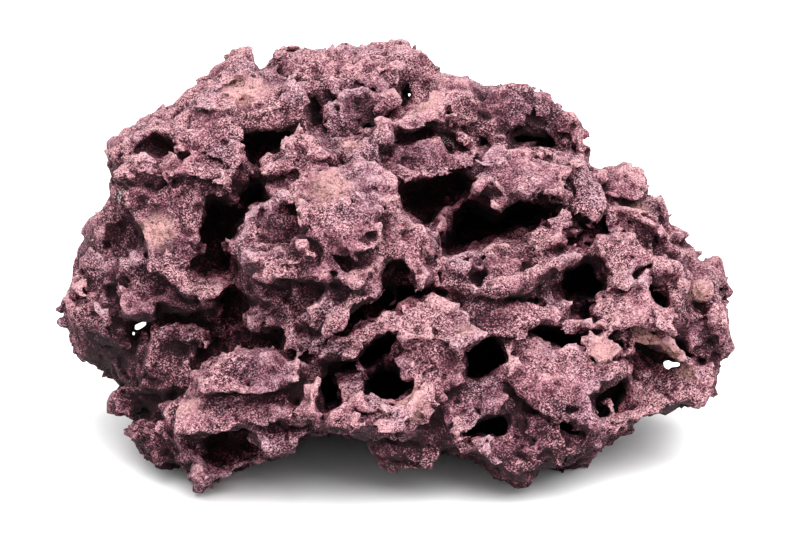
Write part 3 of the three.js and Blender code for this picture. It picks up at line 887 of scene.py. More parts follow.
@dataclass(frozen=True)
class CorallineCrust:
    """Mottled pink, mauve and purple algae over pitted limestone, with painted shade that makes it purple in
    the hollows and near black in the holes, and painted light on crests and upward faces.
    """

    tones: tuple[tuple[float, tuple[float, ...]], ...] = (
        (0.0, (0.014, 0.002, 0.005)),
        (0.25, (0.088, 0.020, 0.034)),
        (0.5, (0.240, 0.092, 0.119)),
        (0.75, (0.435, 0.208, 0.240)),
        (1.0, (0.600, 0.350, 0.365)),
    )
    # pale peach of the pale spots, partly the crust's own colour and partly painted light on lit faces
    pale: tuple[float, ...] = (0.58, 0.32, 0.30, 1.0)
    tan: tuple[float, ...] = (0.54, 0.29, 0.235, 1.0)
    lavender: tuple[float, ...] = (0.72, 0.84, 0.95, 1.0)
    fleck: tuple[float, ...] = (0.66, 0.60, 0.59, 1.0)
    # painted shade: the colour is multiplied by this in the hollows
    shade: tuple[float, ...] = (0.95, 0.58, 0.68, 1.0)
    # painted shade: near black laid into the holes
    painted_hole_shade: tuple[float, ...] = (0.006, 0.003, 0.004, 1.0)
    roughness: tuple[float, float] = (0.72, 0.96)
    specular: float = 0.25
    bump_height: float = 0.0010
    cloud_size: float = 34  # this and the next ones are sizes of noises and grains, in millimetres
    lavender_size: float = 27
    coarse_size: float = 15
    mottle_size: float = 9
    lump_size: float = 2.6
    speck_size: float = 1.4
    crumb_size: float = 1.3
    crumb_lift: float = 0.35  # of the copy that gives each crumb a painted lit top and a painted shaded foot
    grain_size: float = 0.5

    def material(self) -> bpy.types.Material:
        """The finished material."""
        shader = Shader("coralline_crust")
        openness = shader.layer(Layer.OPENNESS)
        crumb = self.crumb(shader)
        grain = shader.crystals(self.grain_size)
        specks = shader.specks(self.speck_size)
        colour = shader.ramp(self.tone(shader, openness, crumb, grain, specks), self.tones)
        colour = self.patched(shader, colour, openness, crumb, grain)
        shader.feed(shader.bsdf.inputs["Base Color"], self.with_painted_shade(shader, colour, openness))
        low, high = self.roughness
        shader.feed(shader.bsdf.inputs["Roughness"], shader.sum((grain, high - low), (1.0, low)))
        shader.feed(shader.bsdf.inputs["Specular IOR Level"], self.specular)
        lumps = shader.noise(self.lump_size, 3, 0.7, shift=2.3)
        bump = shader.node("ShaderNodeBump")
        shader.feed(bump.inputs["Strength"], 1.0)
        shader.feed(bump.inputs["Distance"], self.bump_height)
        height = shader.sum((crumb, 1.6), (grain, 0.3), (specks, -0.8), (lumps, 1.2))
        shader.feed(bump.inputs["Height"], height)
        shader.feed(shader.bsdf.inputs["Normal"], bump.outputs["Normal"])
        return shader.material

    def crumb(self, shader: Shader, rise: float = 0.0) -> bpy.types.NodeSocket:
        """The crust's streaky crumb, moved by the given millimetres."""
        return shader.noise(self.crumb_size, 3, 0.7, shift=0.7, rise=rise, warp=1.0)

    def tone(
        self,
        shader: Shader,
        openness: bpy.types.NodeSocket,
        crumb: bpy.types.NodeSocket,
        grain: bpy.types.NodeSocket,
        specks: bpy.types.NodeSocket,
    ) -> bpy.types.NodeSocket:
        """How pale the crust is, with painted light on crests and upward faces and painted shade in creases
        and shut-in places.

        Args:
            shader: the material's nodes.
            openness: how open the surface lies.
            crumb, grain, specks: the finest scales of the crust.

        Returns:
            The tone, from 0 for near black to 1 for pale pink.
        """
        # painted light and shade on each crumb: the crumb less its copy moved up gives it a pale top and a
        # dark foot; the specks are painted shade in the pits that the bump sinks, and the grain is random
        # tone
        above = self.crumb(shader, self.crumb_lift)
        painted_relief_and_grain = shader.sum((crumb, 1.5), (above, -1.05), (grain, 1.0), (specks, -0.30), (1.0, -0.70))
        plates = shader.math("MAXIMUM", shader.layer(Layer.PALE), shader.layer(Layer.TAN))
        coarse = shader.ranged(shader.noise(self.coarse_size, 3, shift=4.1), 0.36, 0.64)
        coarseness = shader.sum((coarse, 0.7), (plates, -0.4), (1.0, 0.6))
        return shader.sum(
            # painted light: paler where the surface faces up
            (shader.layer(Layer.UP), 0.42),
            # painted highlight on crests and painted shade in creases
            (shader.layer(Layer.CREST), 0.75),
            # partly the crust's own tone, partly painted light on lit faces and painted shade low down and
            # under ledges
            (shader.layer(Layer.SHADE), 0.34),
            (shader.noise(self.cloud_size, 4), 0.5),
            (shader.noise(self.mottle_size, 5, shift=0.3), 0.65),
            (shader.math("MULTIPLY", painted_relief_and_grain, coarseness), 1.0),
            # painted shade: darker where the surface is shut in
            (openness, 0.25),
            (1.0, -0.71),
        )

    def patched(
        self,
        shader: Shader,
        colour: bpy.types.NodeSocket,
        openness: bpy.types.NodeSocket,
        crumb: bpy.types.NodeSocket,
        grain: bpy.types.NodeSocket,
    ) -> bpy.types.NodeSocket:
        """Lays lavender clouds, pale and tan plates and white flecks over a colour; the pale plates sit on
        lit faces and are partly painted light.

        Args:
            shader: the material's nodes.
            colour: what the patches lie on.
            openness: how open the surface lies, since flecks keep out of the holes.
            crumb, grain: what breaks up the plates and the flecks.

        Returns:
            The patched colour.
        """
        clouds = shader.ranged(shader.noise(self.lavender_size, 3, shift=1.7), 0.48, 0.62)
        tinted = shader.mix(1.0, colour, self.lavender, "MULTIPLY")
        colour = shader.mix(shader.math("MULTIPLY", clouds, 0.5), colour, tinted)
        pale = shader.math("MULTIPLY", shader.layer(Layer.PALE), shader.ranged(crumb, 0.36, 0.52))
        colour = shader.mix(shader.math("MULTIPLY", pale, 0.8), colour, self.pale)
        tan = shader.math("MULTIPLY", shader.layer(Layer.TAN), shader.ranged(crumb, 0.38, 0.52))
        colour = shader.mix(shader.math("MULTIPLY", tan, 0.5), colour, self.tan)
        fleck = shader.math("MULTIPLY", shader.layer(Layer.FLECK), shader.ranged(grain, 0.45, 0.75))
        fleck = shader.math("MULTIPLY", fleck, shader.ranged(openness, 0.2, 0.45))
        return shader.mix(fleck, colour, self.fleck)

    def with_painted_shade(
        self, shader: Shader, colour: bpy.types.NodeSocket, openness: bpy.types.NodeSocket
    ) -> bpy.types.NodeSocket:
        """Paints shade into a colour: purple in the hollows and near black in the holes.

        Args:
            shader: the material's nodes.
            colour: the colour of the open surface.
            openness: how open the surface lies.

        Returns:
            The darkened colour.
        """
        shaded = shader.mix(1.0, colour, self.shade, "MULTIPLY")
        colour = shader.mix(shader.ranged(openness, 0.55, 0.12), colour, shaded)
        return shader.mix(shader.ranged(openness, 0.16, 0.02), colour, self.painted_hole_shade)


@dataclass(frozen=True)
class OpenSpace:
    """Measures how much of the space in front of the rock's surface is clear of rock."""

    rays: int = 40  # directions that are tried
    start: float = 2.0  # of each ray, off the surface
    reach: float = 60.0
    steps: int = 14
    least_step: float = 1.0
    least_facing: float = 0.05  # share of a ray along the outward direction, under which it isn't tried

    def directions(self) -> np.ndarray:
        """Directions spread evenly over a ball, one in each row."""
        turn = np.arange(self.rays) * math.pi * (3 - math.sqrt(5))
        up = 1 - (2 * np.arange(self.rays) + 1) / self.rays
        ring = np.sqrt(1 - up * up)
        return np.stack([ring * np.cos(turn), ring * np.sin(turn), up], axis=1)

    def share(self, stone: StoneField, points: np.ndarray, normals: np.ndarray) -> np.ndarray:
        """How open the surface lies at each point.

        Args:
            stone: the rock's field.
            points: places on the surface.
            normals: outward directions there.

        Returns:
            Values from 0, shut in, to 1, open.
        """
        clear = np.zeros(len(points))
        whole = np.zeros(len(points))
        for direction in self.directions():
            facing = normals @ direction
            seen = np.flatnonzero(facing > self.least_facing)
            origin = points[seen] + normals[seen] * self.start
            along = np.zeros(len(seen))
            free = np.ones(len(seen), bool)
            for _ in range(self.steps):
                gap = stone.sample(stone.values, origin + along[:, None] * direction)
                free &= gap > 0
                along = np.minimum(along + np.maximum(gap, self.least_step), self.reach)
            clear[seen] += facing[seen] * free
            whole[seen] += facing[seen]
        return clear / np.maximum(whole, TINY)


@dataclass
class ReefRock:
    """The rock: its refined shape and its crust."""

    name: str = "crusted_reef_rock"
    node: str = "reef_rock"
    triangles: int = 196000
    seen_reach: float = 5.0  # behind the front's nearest points, for what is seen from the front
    seen_weight: float = 0.0004  # the higher, the less of the front is thinned
    seen_share: float = 0.01  # weight of the front in the thinning, where the rest has 1
    step: float = 1.1  # from one point of the field to the next
    band: float = 9.0  # the largest distance that the field tells
    margin: float = 12.0  # of the field around the solid
    fine_reach: float = 1.6  # of the averages that tell crests from hollows
    wide_reach: float = 4.0
    fine_crest: float = 1.2  # shares of those averages
    wide_crest: float = 1.4
    up_reach: float = 2.2  # of the average that tells which way the surface faces
    open_space: OpenSpace = OpenSpace()
    wear: tuple[Wear, ...] = (
        Wear(12, 0.5, 11),
        Wear(6.5, 0.4, 12),
        Wear(3.8, 0.45, 13),
        Wear(2.4, 0.4, 14),
        Wear(1.5, 0.35, 15),
    )
    fill: float = 1.6  # laid on before the wear takes it off
    facets: tuple[Facets, ...] = (
        Facets(13, 0.45, 0.10, 2.2, 51),
        Facets(5.5, 0.18, 0.06, 0.9, 61),
    )
    crags: Rubble = Rubble(900, (1.6, 5.0), 2.0, 0.62, 31)
    chips: Rubble = Rubble(700, (1.6, 5.0), 2.0, -0.4, 32, cut=True)
    pits: Rubble = Rubble(2600, (0.9, 2.2), 2.0, 0.0, 33, cut=True)
    holes: tuple[Hole, ...] = (
        # Shoulder and crown
        Hole(12, "141,146 148,138 155,133 160,136 159,143 168,146 174,152 172,157 160,159 150,156"),
        Hole(30, "235,135 241,138 244,152 247,163 252,167 262,165 275,160 282,150 286,140 290,133 287,128"
             " 268,130"),
        Hole(9, "272,178 285,174 298,172 300,178 285,188 276,193 271,190"),
        Hole(14, "307,94 315,93 320,105 322,118 325,130 312,132 305,125"),
        Hole(9, "305,128 325,130 331,142 338,142 336,152 328,147"),
        Hole(16, "395,75 405,72 410,78 408,85 414,90 417,98 412,106 400,112 395,105 394,95 397,85"),
        Hole(8, "376,118 378,122 372,133 362,140 360,135 363,125 370,119"),
        Hole(6, "390,132 405,131 422,129 420,135 405,139 391,140"),
        Hole(8, "378,150 381,145 386,145 389,150 386,155 380,155"),
        Hole(8, "451,125 457,125 457,145 451,145"),
        Hole(14, "466,152 470,145 476,138 474,131 482,135 492,139 490,147 480,150"),
        Hole(3, "452,100 465,98 476,104 474,115 460,116 452,110"),
        Hole(9, "505,130 520,124 545,134 575,146 572,156 540,152 508,148"),
        Hole(9, "559,183 563,178 572,173 582,172 585,176 575,181 566,184"),
        # Left side
        Hole(6, "115,222 130,218 140,225 145,240 141,250 130,256 115,255 105,255 103,245 110,238"),
        Hole(12, "127,237 133,234 137,240 134,248 128,247"),
        Hole(12, "103,242 108,238 113,242 112,249 105,250"),
        Hole(8, "114,275 125,270 135,275 133,288 125,291 118,286"),
        Hole(45, "203,212 207,200 216,196 224,197 231,206 236,215 225,217 212,219 206,226 204,236 210,240"
             " 232,240 231,250 214,252 200,246 194,236 195,224"),
        Hole(40, "237,206 243,192 250,183 262,183 268,195 270,203 250,205 247,214 241,217"),
        Hole(3, "204,217 225,215 240,213 246,221 237,238 210,241 203,230", 0.3),
        Hole(38, "218,256 228,258 232,264 231,272 222,275 213,280 203,279 190,276 188,268 190,258 198,250"
             " 210,252"),
        Hole(14, "222,292 235,286 243,297 248,302 248,312 236,309 228,305 226,298"),
        Hole(10, "192,312 198,309 206,310 209,317 205,326 198,321 193,317"),
        Hole(12, "221,308 230,306 236,312 235,322 228,325 221,321"),
        Hole(16, "200,338 215,331 232,328 245,331 258,336 270,337 281,330 281,345 278,350 262,349 240,350"
             " 225,350 212,358 201,366"),
        Hole(9, "130,321 146,320 148,334 140,345 131,342"),
        Hole(7, "110,318 120,318 120,327 112,328"),
        Hole(8, "150,398 160,396 172,392 178,394 168,400 160,404 152,404"),
        # Boss
        Hole(14, "270,281 285,279 305,279 318,284 320,293 318,300 306,303 303,312 295,318 287,312 285,300"
             " 275,297 262,298 255,290 262,283"),
        Hole(8, "353,253 358,250 370,250 380,254 377,261 368,262 360,262 355,258"),
        Hole(5, "383,203 389,203 390,209 384,210"),
        Hole(5, "384,212 390,212 390,218 385,218"),
        Hole(5, "363,229 370,229 371,235 364,236"),
        Hole(14, "384,262 400,258 414,264 418,288 400,291 386,288"),
        Hole(30, "385,287 400,290 418,291 412,300 400,306 390,312 375,316 362,322 350,335 335,339 322,335"
             " 322,329 340,324 350,316 362,310 378,300"),
        # Big cave
        Hole(34, "394,190 400,184 412,179 430,176 445,172 460,168 468,172 474,182 470,192 458,202"
             " 446,212 432,232 423,228 412,222 402,212 400,197", 0.35),
        Hole(60, "440,254 444,232 448,218 462,205 475,199 488,200 491,207 496,213 503,208 510,203 518,198"
             " 530,200 545,197 560,199 566,203 560,210 557,217 548,222 540,225 530,234 520,240 500,242"
             " 482,248 470,250 450,258"),
        # Right side
        Hole(9, "473,270 480,270 488,266 487,275 484,285 480,287 478,282 472,279"),
        Hole(24, "565,272 575,267 590,262 595,268 597,276 604,282 604,291 598,296 588,297 580,299 573,295"
             " 567,299 560,296 557,288 561,280"),
        Hole(9, "531,298 536,295 548,296 556,300 558,303 548,303 540,306 534,304"),
        Hole(16, "570,303 577,302 583,307 588,311 597,309 593,316 590,322 582,318 572,318 566,315"),
        Hole(14, "531,332 545,331 560,332 568,333 570,338 565,345 580,349 570,352 555,348 545,342 537,340"),
        Hole(8, "555,232 565,230 578,232 590,224 598,224 597,234 590,240 580,245 568,242"),
        Hole(13, "635,273 637,268 643,264 650,261 653,263 652,268 645,271 640,277 636,276"),
        Hole(14, "647,283 651,282 655,288 659,297 665,299 670,303 670,309 665,311 659,305 653,303 650,294"),
        Hole(7, "676,327 677,321 681,318 684,322 684,327 680,329"),
        Hole(6, "593,332 597,328 604,326 602,334 596,337"),
        Hole(9, "636,345 640,341 650,350 668,350 680,360 660,362 645,352"),
        Hole(13, "588,405 592,398 600,396 608,391 615,385 623,380 628,383 625,390 620,397 617,403 608,409"
             " 602,414 597,417 591,413"),
        Hole(7, "566,404 571,400 577,404 576,410 570,412 566,409"),
        Hole(8, "549,450 555,446 557,452 553,458 549,457"),
        # Bridge and underside
        Hole(32, "362,350 372,341 382,336 392,334 398,340 397,350 392,353 384,353 372,357 355,362 340,374"
             " 330,370"),
        Hole(28, "362,390 370,382 380,368 392,368 396,378 403,382 413,384 415,390 410,395 402,402 390,403"
             " 375,400 365,396"),
        Hole(16, "318,385 328,378 334,385 333,393 340,400 341,408 333,412 324,407 320,398"),
        Hole(32, "462,370 465,362 467,352 475,344 487,338 497,335 500,341 507,343 506,352 508,362 500,370"
             " 490,373 480,377 470,376"),
        Hole(14, "458,431 470,429 478,422 490,417 502,417 504,422 502,432 490,434 478,437 468,434"),
        Hole(6, "276,390 288,387 298,384 297,388 290,392 286,398 278,398"),
        Hole(20, "205,440 215,434 230,430 243,428 252,432 262,443 250,456 222,466 208,460"),
    )
    tunnels: tuple[Tunnel, ...] = (
        Tunnel(60, "407,93 411,93 412,97 408,98"),
        Tunnel(40, "718,286 722,286 722,291 718,291"),
        Tunnel(60, "131,327 134,323 139,321 147,322 141,326 136,329"),
        Tunnel(60, "129,330 133,330 136,337 131,335"),
        Tunnel(60, "662,361 668,360 673,363 680,361 680,367 671,369 668,372 663,368"),
    )
    notches: tuple[Tunnel, ...] = (
        Tunnel(40, "694,230 740,230 740,252 724,262 719,256 714,255 709,259 702,262 696,257"),
        Tunnel(40, "676,243 690,238 692,248 680,248"),
        Tunnel(40, "667,219 682,216 679,227 671,226"),
        Tunnel(40, "40,290 64,296 67,308 67,322 70,334 40,340"),
    )
    slabs: tuple[Slab, ...] = (
        # Shoulder
        Slab(2, 1.3, "196,104 205,92 216,85 230,79 245,78 258,77 264,88 275,95 281,100 272,106 250,104"
             " 225,108 200,109"),
        Slab(4, 0.3, "281,88 291,82 308,92 306,110 304,126 288,129 276,126 264,120 266,108 281,100"),
        Slab(2, 0.5, "170,140 178,131 195,130 205,122 215,118 235,122 241,150 246,164 232,168 210,164"
             " 190,158 178,157"),
        Slab(3, 0.9, "112,158 125,155 140,156 160,161 178,158 192,150 198,168 190,175 165,175 140,177"
             " 122,178 114,170"),
        # Ridge in front of the crown
        Slab(5, 0.5, "262,166 274,162 282,152 288,140 300,132 318,139 327,147 334,156 318,168 306,176"
             " 284,176 275,180"),
        Slab(5, 0.4, "338,146 343,143 350,146 362,141 370,134 377,121 384,121 391,132 389,141 376,152"
             " 362,158 342,159"),
        # Crown
        Slab(3, 0.8, "283,62 300,59 320,58 330,62 338,72 345,80 342,92 335,100 328,90 316,84 305,80 293,72"),
        Slab(3, 0.6, "343,70 350,60 358,66 372,70 385,68 396,62 400,68 393,78 393,90 380,92 362,88 350,80"),
        Slab(4, 0.15, "322,108 334,99 346,90 362,90 380,94 392,92 396,106 388,115 374,117 364,124 360,136"
             " 345,139 328,139"),
        Slab(5, 1.2, "392,128 396,120 402,112 415,107 428,98 436,84 445,80 457,83 455,100 448,114 446,124"
             " 424,126"),
        Slab(4, 0.2, "446,124 452,105 460,97 470,92 478,104 472,118 467,128 474,140 467,151 458,150", 0.4),
        Slab(2, 0.6, "391,142 410,142 440,136 448,150 480,152 474,166 448,170 430,175 398,181 380,165"
             " 372,158 385,154"),
        # Upper right lobe and the ledge under it
        Slab(3, 0.3, "538,100 552,104 566,111 576,120 572,136 556,136 544,124"),
        Slab(5, 0.5, "480,98 492,90 515,87 532,90 548,98 552,106 546,117 530,115 515,118 500,117 486,112"),
        Slab(4, 0.1, "550,112 566,112 578,118 584,140 586,160 578,160 572,142 564,130 556,122", -0.4),
        Slab(4, 0.9, "478,160 490,150 493,143 506,144 516,150 545,158 582,160 586,170 563,178 558,188"
             " 530,192 500,184"),
        Slab(4, 0.0, "476,184 488,176 500,185 530,196 556,196 548,201 518,199 506,207 497,214 490,206"
             " 484,198 474,197"),
        Slab(5, 0.5, "560,186 572,180 586,176 600,178 604,195 606,212 598,219 582,222 570,230 559,226"
             " 556,218 566,204"),
        # Right knobs
        Slab(4, 0.9, "602,180 606,170 625,168 640,172 646,184 640,196 622,198 606,196"),
        Slab(3, 0.4, "612,208 620,202 640,200 655,199 668,208 668,218 660,222 645,218 632,214"),
        Slab(4, 0.3, "616,206 628,212 645,220 658,230 664,244 650,246 640,238 628,234 618,228 606,228"
             " 604,216"),
        Slab(4, 0.7, "592,242 604,234 618,230 630,236 645,240 655,250 650,260 638,264 630,272 604,267"
             " 594,258"),
        # Strata
        Slab(4, 0.6, "438,262 470,259 495,255 520,244 540,228 556,218 564,228 562,246 535,257 500,264"
             " 474,268 440,276"),
        Slab(3, 0.2, "436,268 470,264 478,290 462,295 446,292 434,286"),
        Slab(5, 0.7, "486,268 510,263 540,260 566,256 592,256 580,263 560,274 545,280 530,285 524,297"
             " 482,297 484,286"),
        Slab(2, 0.4, "470,318 490,310 500,302 520,300 536,306 560,304 568,312 556,321 536,324 522,332"
             " 500,337 474,328"),
        # Right column, ring knob and wing
        Slab(5, 0.6, "592,322 594,310 602,298 612,286 626,280 640,280 648,292 656,304 676,320 672,330"
             " 640,323 608,322"),
        Slab(6, 0.4, "604,328 620,323 640,327 668,338 684,352 690,362 660,350 634,342 632,354 620,358"
             " 616,344"),
        Slab(3, 0.4, "652,266 668,262 680,268 684,284 682,300 676,312 668,302 660,296 650,284 648,276"),
        Slab(5, 0.2, "686,304 700,308 716,304 722,320 720,336 705,341 690,337 684,326"),
        Slab(5, 0.7, "636,354 660,365 690,367 712,362 716,380 700,394 680,402 655,408 640,416 618,430"
             " 606,420 624,396"),
        # Lower right slab and the pale boulder on it
        Slab(7, 0.35, "499,338 528,334 540,342 580,352 600,364 622,362 628,374 604,389 589,398 590,412"
             " 604,428 590,436 570,420 550,416 526,400 515,386 509,360"),
        Slab(7, 0.5, "586,343 592,338 602,336 613,340 619,350 615,360 603,363 590,358"),
        # Bridge
        Slab(6, 0.7, "313,356 335,342 350,337 362,324 380,318 400,310 418,301 430,295 445,299 462,310"
             " 475,318 470,332 456,340 420,333 392,334 378,337 364,346 350,358 335,360 320,362"),
        Slab(3, 0.3, "398,342 406,335 425,334 445,338 456,347 463,362 462,380 440,398 416,390 412,382"
             " 398,376 390,360"),
        Slab(6, 0.8, "356,398 372,405 392,409 412,399 430,394 440,400 430,412 400,431 382,428 364,420"
             " 326,427 334,412"),
        Slab(4, 0.4, "336,381 345,376 356,377 363,384 362,395 350,402 340,396"),
        Slab(3, 0.8, "438,406 460,392 480,386 502,388 511,397 504,411 488,414 474,424 455,434 440,428"),
        Slab(4, 0.6, "442,442 460,436 480,440 505,438 522,445 512,458 495,463 478,456 462,448"),
        Slab(2, 0.2, "368,441 385,436 404,446 440,446 440,456 430,462 400,460 382,462 370,450"),
        # Boss
        Slab(4, 1.1, "276,195 302,178 310,170 330,167 362,160 380,164 392,180 397,197 362,196 325,201"
             " 301,212 290,200"),
        Slab(6, 0.2, "301,207 320,205 345,198 366,200 382,207 382,222 376,240 350,258 335,256 320,246"
             " 304,240"),
        Slab(5, 0.3, "232,244 244,226 248,210 254,204 272,203 300,205 303,236 290,245 250,243 240,250", 0.35),
        Slab(6, 0.5, "240,252 262,250 285,246 296,243 306,252 336,274 357,276 352,284 316,282 284,280"
             " 268,278 242,265"),
        Slab(7, 0.4, "320,285 340,282 356,284 372,272 385,288 376,300 348,312 345,324 335,328 318,322"
             " 308,306 320,300"),
        Slab(6, 0.4, "382,222 388,206 400,199 404,216 420,226 430,238 434,252 428,289 419,289 415,271"
             " 390,258 380,246"),
        Slab(5, 0.4, "248,300 264,298 284,300 288,314 318,330 322,345 312,357 284,350 282,334 252,327"
             " 246,316"),
        # Left wall
        Slab(4, 0.3, "125,196 150,186 185,178 225,181 236,190 205,198 194,226 199,244 187,268 200,281"
             " 222,285 214,298 180,288 150,270 146,238 138,220"),
        Slab(2, 0.4, "112,278 125,266 140,262 160,272 180,290 198,300 190,309 155,301 150,316 138,322"
             " 122,319 117,292"),
        Slab(3, 0.4, "74,280 86,283 102,285 116,291 120,306 110,316 104,326 96,310 84,296"),
        Slab(2, 0.1, "150,330 165,322 190,322 205,328 206,344 190,366 200,380 186,391 150,385 140,370"
             " 148,352"),
        # Lower left
        Slab(7, 0.5, "206,385 216,368 226,356 234,350 268,349 280,358 298,366 302,375 290,384 250,391"
             " 216,396"),
        Slab(6, 0.7, "179,408 184,403 214,396 235,391 266,388 278,393 268,412 272,420 245,424 225,432"
             " 200,432 178,430"),
        Slab(3, 0.4, "252,430 264,420 296,420 310,428 296,440 286,449 275,453 264,444"),
        Slab(2, 0.1, "130,430 145,424 160,430 172,442 180,454 178,462 160,464 146,456 138,444"),
        Slab(2, 0.3, "114,395 126,390 140,392 148,400 142,410 128,414 114,408"),
        Slab(3, 0.3, "160,404 172,400 178,408 178,420 170,424 160,416"),
    )
    dishes: tuple[Dish, ...] = (
        Dish(3, "235,106 262,108 264,120 250,128 236,122"),
        Dish(3, "160,176 190,176 202,186 185,193 165,190"),
        Dish(3, "265,74 283,76 284,86 268,84"),
        Dish(4, "452,100 470,98 478,106 476,116 460,118"),
        Dish(8, "484,120 520,119 546,130 564,142 566,154 545,151 520,146 495,140 482,132"),
        Dish(5, "252,224 275,218 300,222 302,241 280,244 256,240"),
        Dish(3, "303,207 325,205 348,208 350,222 330,232 305,228"),
        Dish(4, "312,247 335,258 353,266 345,275 325,268 308,256"),
        Dish(3, "240,264 262,264 262,276 245,280"),
        Dish(9, "250,288 265,280 300,280 320,290 310,302 286,305 270,300 252,301"),
        Dish(9, "384,258 404,256 418,266 418,289 400,292 386,284"),
        Dish(11, "328,354 350,358 380,357 392,364 384,377 360,381 335,375 322,366"),
        Dish(6, "104,222 125,216 140,228 146,240 140,254 120,257 100,258 102,244"),
        Dish(2, "152,302 172,305 200,308 207,320 190,328 165,324 152,314"),
        Dish(5, "98,326 130,322 150,335 150,352 130,353 105,346"),
        Dish(4, "155,340 180,336 205,350 200,368 180,373 160,362"),
        Dish(8, "560,222 580,222 600,222 598,237 580,245 560,238"),
        Dish(4, "600,246 616,244 620,258 604,263"),
        Dish(3, "622,240 640,244 643,256 628,258"),
        Dish(2, "536,277 556,268 566,280 556,297 540,295 528,291"),
        Dish(7, "634,343 660,346 686,357 672,363 645,357"),
        Dish(8, "498,400 530,405 560,420 582,424 580,440 560,449 530,441 505,430"),
        Dish(6, "395,429 425,424 441,432 438,447 415,449 395,442"),
        Dish(5, "500,457 525,450 530,462 510,468"),
        Dish(5, "175,432 200,436 207,448 185,453 176,444"),
        Dish(12, "205,435 240,430 262,442 262,452 240,462 215,464 206,450"),
        Dish(1.5, "676,318 700,322 720,328 715,339 690,335 678,328"),
        Dish(3, "250,361 280,361 300,373 290,383 262,382"),
        Dish(2, "432,329 448,326 452,345 440,353"),
    )
    ridges: tuple[Ridge, ...] = (
        # Steps between the boss and the right column
        Ridge(2.6, 1.0, "440,262 465,258 490,252 515,240 540,226 560,215"),
        Ridge(2.4, 1.0, "455,268 490,264 520,256 545,246 562,240"),
        Ridge(2.6, 0.6, "490,291 510,285 530,277 552,266 572,258 595,252"),
        Ridge(1.6, -0.4, "470,263 500,260 530,247", cut=True),
        Ridge(1.8, -0.4, "440,293 465,298 500,300 525,298", cut=True),
        # Boss
        Ridge(1.5, -0.3, "252,240 275,240 300,243 325,256 350,270", cut=True),
        Ridge(2.2, 0.5, "300,246 322,258 342,270 356,284"),
        # Curl and bridge
        Ridge(2.4, 0.4, "275,410 285,419 300,420 310,410 313,396 318,382"),
        Ridge(2.6, 0.6, "360,400 375,405 395,408 415,400 428,394"),
        Ridge(1.8, 0.3, "619,208 640,217 660,232"),
        # Ring knob
        Ridge(2.0, 0.4, "656,284 654,274 660,266 670,264 680,270 683,280 680,290"),
        # Ribs of the left side and rims of the lower left arch
        Ridge(1.8, 0.3, "80,293 92,298 100,312 104,328"),
        Ridge(1.8, 0.3, "160,428 172,440 180,452 190,455"),
        Ridge(1.6, 0.2, "220,432 245,428 262,442 276,452"),
    )
    shell: Shell = Shell(701, 290, 6.2, 1.6)
    # paler and darker zones: partly the crust's own tone, partly painted light on lit faces and painted shade
    # low down and under ledges
    tone_light_and_shade_zones: tuple[Zone, ...] = (
        Zone(0.55, Spot(240, 92, 55)),
        Zone(0.25, Spot(335, 180, 60)),
        Zone(0.6, Spot(425, 108, 45)),
        Zone(-0.25, Spot(170, 225, 60)),
        Zone(0.95, Spot(420, 315, 60)),
        Zone(0.5, Spot(560, 375, 70)),
        Zone(0.6, Spot(392, 225, 40)),
        Zone(0.5, Spot(400, 412, 50)),
        Zone(0.1, Spot(540, 165, 50)),
        Zone(0.6, Spot(620, 310, 60)),
        Zone(0.5, Spot(675, 310, 55)),
        Zone(0.5, Spot(190, 412, 35)),
        Zone(-0.5, Spot(520, 125, 70)),
        Zone(-0.8, Spot(150, 350, 90)),
        Zone(-0.6, Spot(290, 228, 40)),
        Zone(-0.8, Spot(540, 430, 70)),
        Zone(-0.7, Spot(415, 440, 50)),
        Zone(-0.6, Spot(360, 368, 50)),
        Zone(-0.15, Spot(700, 330, 50)),
        Zone(-0.6, Spot(150, 450, 60)),
        Zone(0.15, Spot(350, 85, 70)),
        Zone(-0.3, Spot(510, 265, 50)),
        Zone(-0.5, Spot(230, 65, 40)),
    )
    # pale spots on lit faces: partly the crust's own paler colour, partly painted light
    pale_and_lit_spots: tuple[Spot, ...] = (
        Spot(245, 90, 30),
        Spot(330, 182, 30),
        Spot(325, 310, 16),
        Spot(602, 348, 18),
        Spot(187, 412, 22),
        Spot(465, 324, 18),
        Spot(157, 232, 24),
        Spot(410, 403, 22),
        Spot(350, 143, 14),
        Spot(430, 105, 20),
        Spot(640, 215, 16),
    )
    tan_spots: tuple[Spot, ...] = (
        Spot(648, 335, 20),
        Spot(672, 352, 22),
        Spot(688, 372, 16),
        Spot(701, 290, 18),
    )
    flecks: tuple[Spot, ...] = (
        Spot(527, 170, 11),
        Spot(446, 146, 12),
        Spot(473, 95, 7),
        Spot(118, 195, 7),
        Spot(228, 87, 6),
        Spot(206, 108, 8),
    )
    crust: CorallineCrust = field(default_factory=CorallineCrust)

    def build(self) -> bpy.types.Object:
        """Shapes and dresses the rock.

        Returns:
            The finished piece, riding on the rock's body.
        """
        stone = StoneField.of_mesh(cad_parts[self.node].data, self.step, self.band, self.margin)
        depths = FrontDepths(stone)
        self.shape(stone, depths)
        piece = self.mesh(stone)
        self.mark(piece, stone, depths)
        piece.data.materials.append(self.crust.material())
        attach(piece, "root")
        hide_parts(self.node)
        return piece

    def shape(self, stone: StoneField, depths: FrontDepths) -> None:
        """Works the forms of the front, rubble, broken faces, wear and pits into the rock.

        Args:
            stone: the rock's field.
            depths: depths of the rock's front.
        """
        rough = Roughness(stone)
        for slab in self.slabs:
            slab.work(stone, depths, rough)
        self.crags.scatter(stone)
        self.chips.scatter(stone)
        depths = FrontDepths(stone)
        for form in (*self.ridges, *self.dishes):
            form.work(stone, depths, rough)
        for faces in self.facets:
            faces.chisel(stone)
        for hole in self.holes:
            hole.work(stone, depths, rough)
        worn = np.full(stone.values.shape, -self.fill, np.float32)
        for wear in self.wear:
            worn += wear.depth * np.abs(stone.noise(wear.size, wear.seed))
        stone.values += worn
        self.pits.scatter(stone)
        for tunnel in (*self.tunnels, *self.notches):
            tunnel.work(stone, depths, rough)
        self.shell.work(stone, depths)
        heights = stone.low[2] + stone.step * np.arange(stone.values.shape[2])
        stone.values = np.maximum(stone.values, -heights.astype(np.float32))

